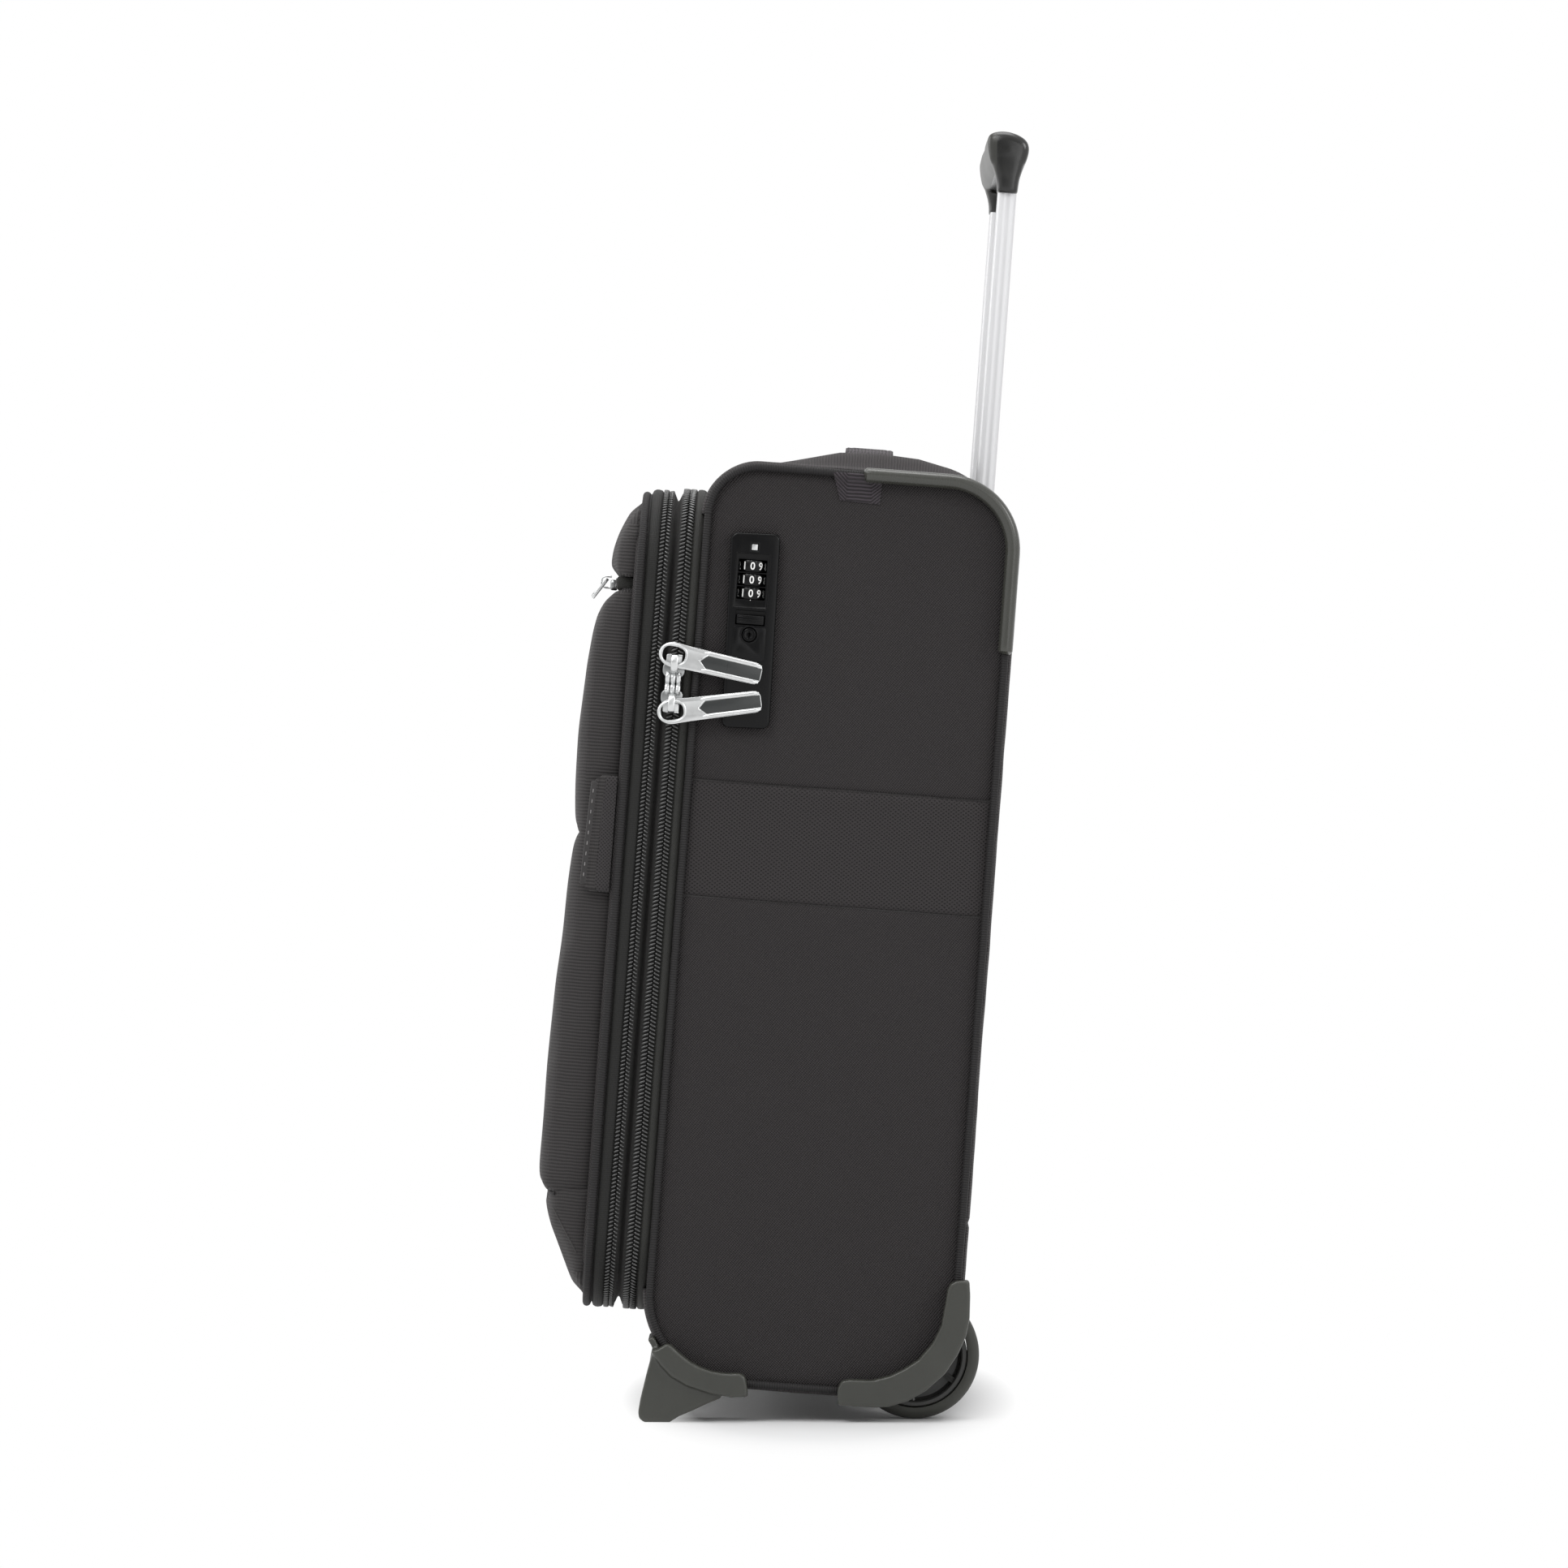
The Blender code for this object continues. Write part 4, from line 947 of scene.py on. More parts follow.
def side_sheet(name, bottom, top, mat, seams, seed, body="case", replaces=None,
               lock_hole=False, bulge=0.0):
    heights = spaced(bottom, top)
    fractions = spaced(0.0, 1.0, coarse=0.022, fine=0.004)
    verts, uvs = [], []
    for z in heights:
        front, back = depth_range(z)
        for t in fractions:
            y = front + (back - front) * t
            verts.append((HALF_WIDTH + side_height(y, z, seams, seed, bulge, top), y, z))
            uvs.append((y, z))
    faces = grid_faces(len(heights), len(fractions))
    if lock_hole:
        def covered(face):
            y = sum(verts[i][1] for i in face) / 4
            z = sum(verts[i][2] for i in face) / 4
            return -0.0675 < y < -0.0468 and 0.3868 < z < 0.4893
        faces = [face for face in faces if not covered(face)]
    return sheet(name, verts, faces, uvs, mat, "fabric", 0.0020, body, replaces)


def side_panels():
    low, high = BOTTOM + SHEET_INSET, TOP - SHEET_INSET
    side_sheet("side_upper_right", SEAM_HIGH, high, "side", (SEAM_HIGH,), 1.0,
               replaces="side_panel_right", lock_hole=True)
    # the left upper panel has no hole for the lock, so it is mirrored from its own sheet
    whole = side_sheet("side_upper_flip", SEAM_HIGH, high, "side", (SEAM_HIGH,), 4.0, None)
    band = side_sheet("side_band_right", SEAM_LOW, SEAM_HIGH, "band", (SEAM_LOW, SEAM_HIGH),
                      2.0, bulge=0.0006)
    lower = side_sheet("side_lower_right", low, SEAM_LOW, "side", (SEAM_LOW,), 3.0)
    mirror_x(whole, "side_upper_left", replaces="side_panel_left")
    mirror_x(band, "side_band_left")
    mirror_x(lower, "side_lower_left")
    bpy.data.objects.remove(whole, do_unlink=True)
    # binding behind the seams, so that nothing shows between the sheets
    for name, z in (("seam_tape_lower", SEAM_LOW), ("seam_tape_upper", SEAM_HIGH)):
        tape = box(name + "_right", (0.1868, 0.1879), (-0.0862, 0.0862),
                   (z - 0.004, z + 0.004), "stitch", "case", None, 0.0003, 2)
        mirror_x(tape, name + "_left")


side_panels()

# ================================================================ piping and seam binding
piping = sweep("piping_visual_right", body_outline(0.0020, 16), circle(0.0021, 16, 0, 0.1916),
               "yz", "piping", "case", "piping", "piping_right", step=0.0011, wobble=0.00010)
mirror_x(piping, "piping_visual_left", replaces="piping_left")
# (outward, x): closes the joint between the side panel, the piping and the gusset
SEAM_BINDING = [
    (-0.0024, 0.1826), (-0.0016, 0.1832), (-0.0010, 0.1850), (-0.0008, 0.1880),
    (-0.0012, 0.1906), (-0.0022, 0.1908), (-0.0030, 0.1880), (-0.0032, 0.1826)]
binding = sweep("seam_binding_right", body_outline(0.0, 12), SEAM_BINDING,
                "yz", "gusset", "case", "fabric", step=0.0030)
mirror_x(binding, "seam_binding_left")


# ================================================================ gusset cloth
def gusset(name, path, replaces, is_hole, seed, relief=None, step=0.0024):
    """Cloth across the case, following a (y, z) path."""
    points, lengths, total = resample(path, step, False)
    half = spaced(0.0, GUSSET_X - 0.0003, coarse=0.0048, fine=0.0008, fine_start=False)
    across = [-x for x in half[:0:-1]] + half
    verts, uvs = [], []
    for point, normal, along in zip(points, normals_of(points, False), lengths):
        for x in across:
            edge = GUSSET_X - abs(x)
            out = -0.0016 * exp(-edge / 0.0030)
            out += 0.00035 * noise.noise(Vector((x * 14, along * 16, seed)))
            out += (0.00030 * noise.noise(Vector((x * 60, along * 70, seed + 3)))
                    * exp(-edge / 0.016))
            if relief:
                out += relief(x, point.x, point.y, along, total)
            verts.append((x, point.x + normal.x * out, point.y + normal.y * out))
            uvs.append((x, along))
    faces = [face[::-1] for face in grid_faces(len(points), len(across))
             if not is_hole(*[sum(verts[i][k] for i in face) / 4 for k in range(3)])]
    sheet(name, verts, faces, uvs, "gusset", "fabric", 0.0022, "case", replaces,
          prepare=remove_loose)


# side view of the padded hump: (y, height)
CROWN = ((-0.0640, 0.0), (-0.0520, 0.0006), (-0.0390, 0.0036), (-0.0140, 0.0098),
         (0.0080, 0.0108), (0.0300, 0.0096), (0.0475, 0.0058), (0.0600, 0.0020), (0.0680, 0.0))


def crown(x, y, z, along, total):
    """Padded hump under the carry handle, with a sewn edge."""
    if z < TOP - 0.006:
        return 0.0
    height = 0.0
    for (y0, height0), (y1, height1) in zip(CROWN, CROWN[1:]):
        if y0 <= y <= y1:
            height = height0 + (height1 - height0) * ((y - y0) / (y1 - y0))
    fade = 1 - smoothstep(0.128, 0.158, abs(x))
    groove = 0.0007 * exp(-abs(abs(x) - 0.148) / 0.0012) if -0.060 < y < 0.080 else 0.0
    return height * fade - groove


def back_relief(x, y, z, along, total):
    """A groove near each end, and a low swell over each tube."""
    return (-0.0009 * exp(-abs(along - 0.020) / 0.0012)
            - 0.0009 * exp(-abs(total - along - 0.045) / 0.0012)
            + 0.0006 * exp(-((abs(x) - TUBE_X) / 0.020) ** 2))


def back_hole(x, y, z):
    """Room for the handle bezel and the wheels."""
    return (abs(x) < 0.1116 and z > 0.4997) or (0.1400 < abs(x) < 0.1850 and z < 0.0800)


BACK_TOP_ARC = arc(HALF_DEPTH - BACK_TOP_R, TOP - BACK_TOP_R, BACK_TOP_R, 90, 0, 16)
gusset("top_cloth",
       arc(-HALF_DEPTH + FRONT_TOP_R, TOP - FRONT_TOP_R, FRONT_TOP_R, 180, 90, 14)
       + BACK_TOP_ARC,
       "top_panel", lambda x, y, z: abs(x) < 0.1116 and y > 0.0527, 1.0, crown, 0.0020)
gusset("back_cloth", [(HALF_DEPTH, TOP - BACK_TOP_R), (HALF_DEPTH, BOTTOM + BACK_BOTTOM_R)],
       "back_panel", back_hole, 2.0, back_relief, 0.0030)
gusset("bottom_cloth",
       arc(HALF_DEPTH - BACK_BOTTOM_R, BOTTOM + BACK_BOTTOM_R, BACK_BOTTOM_R, 0, -90, 18)
       + arc(-HALF_DEPTH + FRONT_BOTTOM_R, BOTTOM + FRONT_BOTTOM_R, FRONT_BOTTOM_R,
             -90, -180, 18),
       "bottom_panel", lambda x, y, z: 0.1432 < abs(x) < 0.1850 and y > 0.0245, 3.0)

OPENING = round_rect(-0.176, 0.176, 0.077, 0.492, 0.034, 12)
prism("front_border_cloth",
      [[(-GUSSET_X, 0.0670), (GUSSET_X, 0.0670), (GUSSET_X, 0.5016), (-GUSSET_X, 0.5016)],
       OPENING],
      "xz", -HALF_DEPTH, -0.0842, "gusset", "case", "fabric", 0.0006, 2, "front_border")
# (outward, y)
OPENING_BINDING = [
    (-0.0060, -0.0880), (-0.0066, -0.0874), (-0.0066, -0.0868), (0.0008, -0.0860),
    (0.0012, -0.0850), (0.0008, -0.0835), (-0.0002, -0.0832), (0.0000, -0.0870),
    (-0.0052, -0.0876)]
sweep("opening_binding", OPENING, OPENING_BINDING, "xz", "webbing", "case", "webbing",
      step=0.004)
sweep("hoop_sleeve", round_rect(-0.1795, 0.1795, 0.070, 0.498, 0.032, 10),
      circle(0.0021, 12, 0, -0.0800), "xz", "lining", "case", "lining", "front_hoop",
      step=0.004, wobble=0.0002)

# ================================================================ corner guards
# (outward, x) of the guard's section, before it is let in by GUARD_INSET
GUARD_INSET = 0.0006
GUARD_SECTION = [
    (-0.0054, 0.1905), (-0.0056, 0.1930), (-0.0052, 0.1955), (-0.0042, 0.1972),
    (-0.0026, 0.1982), (-0.0008, 0.1985), (0.0008, 0.1980), (0.0019, 0.1968),
    (0.0025, 0.1950), (0.0027, 0.1925), (0.0026, 0.1890), (0.0025, 0.1850),
    (0.0024, 0.1810), (0.0020, 0.1785), (0.0011, 0.1778), (0.0003, 0.1782),
    (0.0001, 0.1830), (0.0001, 0.1906)]
guard = sweep("corner_guard_visual_right",
              [(-0.0005, TOP)] + BACK_TOP_ARC + [(HALF_DEPTH, 0.4355)],
              [(out - GUARD_INSET, x) for out, x in GUARD_SECTION],
              "yz", "moulded", "case", "moulded", "corner_guard_right", closed=False,
              step=0.0016, flat_ends=0.0024, smooth=50)
mirror_x(guard, "corner_guard_visual_left", replaces="corner_guard_left")


# ================================================================ wheel housings and feet
def soften_cad(name, node):
    """A CAD piece remeshed finely and smoothed, so its edges look moulded."""
    mesh = CAD_NODES[node].data.copy()
    mesh.name = name
    obj = new_object(name, mesh)
    work = bmesh.new()
    work.from_mesh(mesh)
    bmesh.ops.remove_doubles(work, verts=work.verts, dist=1e-6)
    work.to_mesh(mesh)
    work.free()
    add_modifier(obj, "REMESH", mode="VOXEL", voxel_size=0.0010,
                 use_smooth_shade=True)
    modify(obj, "SMOOTH", iterations=4, factor=0.5)
    map_and_dress(obj, "housing", "case", "moulded", node, 60)


for side_name, _ in SIDES:
    for cad_name in ("wheel_housing", "front_foot"):
        soften_cad(f"{cad_name}_visual_{side_name}", f"{cad_name}_{side_name}")


# ================================================================ wheels
def wheel_profiles():
    """Closed (radius, x) profiles of the tyre and of the hub."""
    outer, half = WHEEL_RADIUS, WHEEL_HALF_WIDTH
    tread = [
        (outer - 0.0010, 0.0),                     # a shallow middle groove
        (outer - 0.0003, -0.0010), (outer - 0.0001, -0.0022), (outer, -0.0040),
        (outer - 0.0001, -0.0058), (outer - 0.0006, -0.0078), (outer - 0.0016, -0.0095),
        (outer - 0.0032, -0.0107), (outer - 0.0048, -half), (outer - 0.0064, -half + 0.0003),
        (outer - 0.0066, -half + 0.0008)]
    tyre = tread[::-1] + [(radius, -x) for radius, x in tread[1:]]
    tyre += [(outer - 0.0066, 0.006), (outer - 0.0066, -0.006)]
    face = [
        (outer - 0.0070, -half + 0.0012), (outer - 0.0070, half - 0.0012),
        (outer - 0.0076, half - 0.0006), (outer - 0.0094, half - 0.0006),
        (outer - 0.0102, half - 0.0014), (outer - 0.0106, half - 0.0040),
        (outer - 0.0120, half - 0.0056), (0.0150, half - 0.0060), (0.0122, half - 0.0052),
        (0.0108, half - 0.0034), (0.0100, half - 0.0016), (0.0088, half - 0.0010),
        (0.0058, half - 0.0010), (0.0050, half - 0.0018), (0.0046, half - 0.0030)]
    hub = face + [(radius, -x) for radius, x in face[::-1]][:-1]
    return tyre, hub


def rim_ribs(side_name, centre):
    """Six raised ribs on each face of the hub."""
    half = WHEEL_HALF_WIDTH
    # radius, half width, height of the crest from the wheel's middle
    stations = ((0.0108, 0.0022, half - 0.0030), (0.0150, 0.0015, half - 0.0044),
                (0.0200, 0.0013, half - 0.0042), (WHEEL_RADIUS - 0.0104, 0.0017, half - 0.0022))
    # share of the half width, height below the crest
    section = ((-1, -0.0022), (-1, -0.0004), (-0.6, 0.0), (0.6, 0.0), (1, -0.0004),
               (1, -0.0022))
    verts, faces = [], []
    for face_sign in (1, -1):
        for k in range(6):
            angle = tau * (k + 0.5) / 6
            radial = Vector((0, cos(angle), sin(angle)))
            tangent = Vector((0, -sin(angle), cos(angle)))
            rib = loft_faces(len(stations), len(section), len(verts))
            for radius, half_width, crest in stations:
                for share, drop in section:
                    verts.append(tuple(Vector(centre) + radial * radius
                                       + tangent * (half_width * share)
                                       + Vector((face_sign * (crest + drop), 0, 0))))
            faces += rib if face_sign < 0 else [face[::-1] for face in rib]
    add_solid("rim_ribs_" + side_name, verts, faces, "rim", "wheel_" + side_name, "moulded",
              smooth=40)


AXLE_PROFILE = [(0.0002, -0.0175), (0.0036, -0.0175), (0.0040, -0.0171), (0.0040, 0.0168),
                (0.0037, 0.0172), (0.0018, 0.0174), (0.0014, 0.0166), (0.0002, 0.0165)]
TYRE_PROFILE, HUB_PROFILE = wheel_profiles()
for side_name, side_sign in SIDES:
    hub_centre = (side_sign * WHEEL_X, WHEEL_Y, WHEEL_Z)
    lathe("tyre_visual_" + side_name, TYRE_PROFILE, "tyre", "wheel_" + side_name, hub_centre,
          96, "tyre", "tyre_" + side_name)
    lathe("rim_visual_" + side_name, HUB_PROFILE, "rim", "wheel_" + side_name, hub_centre, 72,
          "moulded", "wheel_rim_" + side_name)
    rim_ribs(side_name, hub_centre)
    lathe("axle_visual_" + side_name, AXLE_PROFILE, "steel", "case",
          (side_sign * 0.1642, WHEEL_Y, WHEEL_Z), 32, "steel", "axle_" + side_name)


# ================================================================ webbing tabs
def webbing_tab(side_name, side_sign):
    """Loop of ribbed webbing folded flat, its two ends mitred."""
    front_top, front_foot = (-0.0178, 0.5298), (-0.0129, 0.5143)
    back_foot, back_top = (0.0099, 0.5135), (0.0101, 0.5300)
    front_fold, back_fold = -0.0093, 0.0045
    rows, cols = 21, 41

    def spot(t, s):
        left_y = front_foot[0] + (front_top[0] - front_foot[0]) * t
        left_z = front_foot[1] + (front_top[1] - front_foot[1]) * t
        right_y = back_foot[0] + (back_top[0] - back_foot[0]) * t
        right_z = back_foot[1] + (back_top[1] - back_foot[1]) * t
        y = left_y + (right_y - left_y) * s
        z = left_z + (right_z - left_z) * s
        edge = min(min(s, 1 - s) * 0.024, (t * 0.0125) + 0.0001)
        rim = 0.0009 * (1 - exp(-edge / 0.0005))
        fold = (-0.00045 * exp(-abs(y - front_fold) / 0.0005)
                - 0.00045 * exp(-abs(y - back_fold) / 0.0005))
        lift = 0.0031 * smoothstep(0.5235, 0.5285, z)            # rises over the piping
        x = 0.1904 + rim + fold + lift + 0.0004 * sin(pi * t) * sin(pi * s)
        # the ribs run level in the middle and slant at the mitred ends
        slant = 0.0
        if y < front_fold:
            slant = (y - front_fold) * 0.9
        elif y > back_fold:
            slant = -(y - back_fold) * 0.9
        return (side_sign * x, y, z), (y, z + slant)

    verts, uvs = grid_points(rows, cols, spot)
    faces = grid_faces(rows, cols)
    if side_sign < 0:
        faces = [face[::-1] for face in faces]
    sheet("webbing_tab_visual_" + side_name, verts, faces, uvs, "webbing", "webbing", 0.0009,
          "case", "webbing_tab_" + side_name)


for side_name, side_sign in SIDES:
    webbing_tab(side_name, side_sign)


# ================================================================ telescopic handle: tubes
def grooved_rect(width, depth):
    """Rounded tube section, centred, with a shallow groove down each face."""
    radius, groove, groove_depth = 0.0034, 0.0014, 0.00022
    half_x, half_y = width / 2, depth / 2
    out = []
    for sign_x, sign_y, start in ((1, 1, 0), (-1, 1, 90), (-1, -1, 180), (1, -1, 270)):
        out += arc(sign_x * (half_x - radius), sign_y * (half_y - radius), radius,
                   start, start + 90, 6)
        if sign_x * sign_y > 0:                        # after this corner comes a face along x
            s = sign_y
            out += [(s * groove, s * half_y), (s * groove * 0.55, s * (half_y - groove_depth)),
                    (-s * groove * 0.55, s * (half_y - groove_depth)),
                    (-s * groove, s * half_y)]
        else:
            s = sign_x
            out += [(s * half_x, -s * groove), (s * (half_x - groove_depth), -s * groove * 0.55),
                    (s * (half_x - groove_depth), s * groove * 0.55),
                    (s * half_x, s * groove)]
    return out


def tube_rings(centre_x, width, depth, wall):
    half_x, half_y = width / 2 - wall, depth / 2 - wall
    bore = round_rect(-half_x, half_x, -half_y, half_y, 0.002, 4)
    return [[(centre_x + a, TUBE_Y + b) for a, b in ring]
            for ring in (grooved_rect(width, depth), bore)]


def around_tube(side_sign, half_x, half_y, radius):
    """Rounded rectangle about a tube's centre: (x, y)."""
    centre_x = side_sign * TUBE_X
    return round_rect(centre_x - half_x, centre_x + half_x, TUBE_Y - half_y, TUBE_Y + half_y,
                      radius)


# stage: width, depth, wall, low z, high z, material, body, slot
TUBES = {
    "inner": (0.0150, 0.0108, 0.0018, 0.2500, 0.7010, "alu", "handle_inner", "aluminium"),
    "middle": (0.0176, 0.0134, 0.0010, 0.0700, 0.5120, "alu", "handle_middle", "aluminium"),
    "outer": (0.0206, 0.0164, 0.0011, 0.0605, 0.4990, "steel", "case", "steel")}
for side_name, side_sign in SIDES:
    for stage, (width, depth, wall, low, high, mat, body, slot) in TUBES.items():
        prism(f"{stage}_tube_visual_{side_name}",
              tube_rings(side_sign * TUBE_X, width, depth, wall), "xy", low, high, mat, body,
              slot, replaces=f"{stage}_tube_{side_name}", smooth=25)
    # plastic collar at the mouth of the middle tube
    prism("tube_collar_" + side_name,
          [around_tube(side_sign, 0.0094, 0.0074, 0.0034),
           around_tube(side_sign, 0.0077, 0.0056, 0.0030)],
          "xy", 0.5085, 0.5122, "lock", "handle_middle", "moulded", 0.0004)
bracket_materials = CAD_NODES["tube_bracket"].data.materials
bracket_materials.clear()
bracket_materials.append(MAT["moulded"])

# ================================================================ telescopic handle: grip
# section of the grip bar: (y, z)
GRIP_SECTION = [
    (0.0645, 0.7137), (0.0610, 0.7147), (0.0589, 0.7172), (0.0577, 0.7208),
    (0.0568, 0.7250), (0.0564, 0.7290), (0.0574, 0.7325), (0.0618, 0.7345),
    (0.0676, 0.7348), (0.0738, 0.7333), (0.0784, 0.7304), (0.0803, 0.7262),
    (0.0797, 0.7206), (0.0780, 0.7165), (0.0735, 0.7136), (0.0690, 0.7130)]
GRIP_Y, GRIP_Z = 0.0690, 0.7245
GRIP_HALF, GRIP_END = 0.0965, 0.0060               # half length, length of the rounded end
# sections of a grip leg: z, half width, front y, back y
LEG_SECTIONS = [
    (0.6998, 0.0086, 0.0640, 0.0753), (0.7004, 0.0089, 0.0637, 0.0756),
    (0.7030, 0.0091, 0.0636, 0.0757), (0.7060, 0.0092, 0.0632, 0.0759),
    (0.7085, 0.0092, 0.0626, 0.0762), (0.7110, 0.0093, 0.0618, 0.0768),
    (0.7140, 0.0093, 0.0606, 0.0776), (0.7170, 0.0093, 0.0596, 0.0782),
    (0.7220, 0.0090, 0.0592, 0.0786)]


def grip_bar():
    """Rounded bar lofted along x, its sections pulled in at the ends."""
    ring = spline(GRIP_SECTION, 4, closed=True)
    straight = GRIP_HALF - GRIP_END
    ends = []
    for k in range(1, 15):
        t = k / 14
        ends.append((straight + GRIP_END * t, max(0.02, (1 - t ** 3.2) ** (1 / 2.6))))
    stations = ([(-x, size) for x, size in ends]
                + [(x, 1.0) for x in np.linspace(-straight, straight, 44)] + ends)
    stations = sorted(set((round(x, 6), round(size, 5)) for x, size in stations))
    verts = []
    for x, size in stations:
        # slightly waisted in the middle, and bowed forward
        waist = 1.0
        if abs(x) < GRIP_HALF * 0.5:
            waist = 1.0 - 0.035 * cos(pi * x / GRIP_HALF) ** 2
        bow = 0.0004 * (1 - (x / GRIP_HALF) ** 2)
        for point in ring:
            front = smoothstep(0.066, 0.058, point.x)
            verts.append((x, GRIP_Y + (point.x - GRIP_Y) * size * waist - bow * front,
                          GRIP_Z + (point.y - GRIP_Z) * size * waist))
    sides = len(ring)
    last = (len(stations) - 1) * sides
    faces = loft_faces(len(stations), sides, capped=False)
    faces += [tuple(range(sides)), tuple(range(last, last + sides))[::-1]]
    return add_solid("grip_visual", verts, faces, "grip")


def grip_leg(side_sign):
    """Leg that takes a tube."""
    loop = superellipse(36, 0.45, 0.45)
    verts = [(side_sign * 0.0870 + a * half_x, (front + back) / 2 + b * (back - front) / 2, z)
             for z, half_x, front, back in LEG_SECTIONS for a, b in loop]
    return add_solid("grip_leg", verts, loft_faces(len(LEG_SECTIONS), 36), "grip", smooth=50)


def grip():
    """One moulding: bar and legs merged, the joins blended, then the button's well cut."""
    obj = grip_bar()
    well = box_tool((-0.0165, 0.0165), (0.0642, 0.0738), (0.7262, 0.760), 0.0020, 3)
    combine(obj, [grip_leg(side_sign) for _, side_sign in SIDES], "UNION")
    modify(obj, "REMESH", mode="VOXEL", voxel_size=0.0008)
    modify(obj, "SMOOTH", iterations=8, factor=0.5)
    combine(obj, [well])
    map_and_dress(obj, "grip", "handle_inner", "gloss", "grip", 40)


def grip_button():
    """A domed pill."""
    rows, sides = 9, 40
    loop = superellipse(sides, 0.35, 0.35)
    verts = []
    for i in range(rows):
        t = i / (rows - 1)
        if t < 0.45:
            size, z = 1.0, 0.7312 + 0.0034 * t / 0.45
        else:
            angle = (t - 0.45) / 0.55 * pi / 2
            size, z = 1 - 0.30 * (1 - cos(angle)), 0.7346 + 0.0008 * sin(angle)
        for a, b in loop:
            verts.append((a * 0.0159 * (1 - (1 - size) * 0.35), 0.0690 + b * 0.0042 * size, z))
    add_solid("grip_button_visual", verts, loft_faces(rows, sides), "lock", "grip_button",
              "lock_black", "grip_button", smooth=50)


grip()
grip_button()

# ================================================================ handle bezel
# side view of the bezel: (y, z)
BEZEL_OUTLINE = [
    (0.0498, 0.5348), (0.0512, 0.5360), (0.0560, 0.5350), (0.0600, 0.5332), (0.0660, 0.5290),
    (0.0720, 0.5249), (0.0790, 0.5187), (0.0845, 0.5110), (0.0878, 0.5010), (0.0884, 0.4965),
    (0.0881, 0.4945), (0.0850, 0.4945), (0.0800, 0.4990), (0.0498, 0.4990)]
TUBE_HOLE = (0.0093, 0.0072)                       # half x, half y


def handle_bezel():
    """Moulding where the tubes enter the case: a recess with two tube holes."""
    hole_x, hole_y = TUBE_HOLE
    bezel = prism("handle_bezel_visual", BEZEL_OUTLINE, "yz", -0.1135, 0.1135, "moulded", None,
                  None, 0.0010, 3)
    recess = box_tool((-0.1000, 0.1000), (0.0556, 0.0803), (0.5132, 0.6000), 0.0018, 4)
    holes = [box_tool((s * TUBE_X - hole_x, s * TUBE_X + hole_x),
                      (TUBE_Y - hole_y, TUBE_Y + hole_y), (0.4900, 0.5300)) for s in (1, -1)]
    combine(bezel, [recess] + holes)
    map_and_dress(bezel, "moulded", "case", "moulded", "handle_bezel")
    for side_name, side_sign in SIDES:             # raised collars round the tube holes
        prism("bezel_collar_" + side_name,
              [around_tube(side_sign, 0.0118, 0.0096, 0.0040),
               around_tube(side_sign, hole_x, hole_y, 0.0030)],
              "xy", 0.5125, 0.5141, "moulded", "case", "moulded", 0.0004)


handle_bezel()


# ================================================================ carry handle
def strap_sheet(name, x_span, y_span, height, thick, mat, body, slot, cols, rows=19, puff=0.0,
                replaces=None):
    """Strap whose height is height(x), with a sunk row of stitching near its long edges."""
    (x0, x1), (y0, y1) = x_span, y_span

    def spot(t, s):
        x, y = x0 + (x1 - x0) * s, y0 + (y1 - y0) * t
        edge = min(t, 1 - t) * (y1 - y0)
        z = height(x) + puff * (1 - exp(-edge / 0.0030)) - 0.0006 * exp(-edge / 0.0006)
        z -= 0.0005 * exp(-abs(edge - 0.0026) / 0.0005)
        return (x, y, z), (x, y)

    verts, uvs = grid_points(rows, cols, spot)
    return sheet(name, verts, grid_faces(rows, cols), uvs, mat, slot, thick, body, replaces)


def handle_height(x):
    reach = abs(x)
    return (0.5470 + 0.0026 * (1 - smoothstep(0.066, 0.090, reach))
            - 0.0020 * smoothstep(0.088, 0.098, reach))


def pad_height(x):
    return 0.5492 - 0.0010 * smoothstep(0.055, 0.064, abs(x))


def carry_handle():
    strap_y = (-0.0110, 0.0160)
    strap_sheet("carry_handle_visual", (-0.066, 0.066), strap_y, handle_height, 0.0016,
                "webbing", "carry_handle", "webbing", 65, replaces="carry_handle")
    for side_name, side_sign in SIDES:
        # the sewn ends reach from the case up to the part in the hand
        end = strap_sheet("carry_handle_webbing_" + side_name,
                          sorted((side_sign * 0.066, side_sign * 0.098)), strap_y,
                          handle_height, 0.0016, "webbing", None, "webbing", 21)
        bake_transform(end)
    strap_sheet("carry_handle_pad", (-0.064, 0.064), (-0.0085, 0.0135), pad_height, 0.0020,
                "gusset", "carry_handle", "fabric", 65, 15, 0.0006)
    for side_name, side_sign in SIDES:
        centre = side_sign * 0.095
        box("carry_handle_end_" + side_name, (centre - 0.013, centre + 0.013),
            (-0.0128, 0.0178), (0.5414, 0.5427), "moulded", "case", "moulded", 0.0006, 3)


carry_handle()

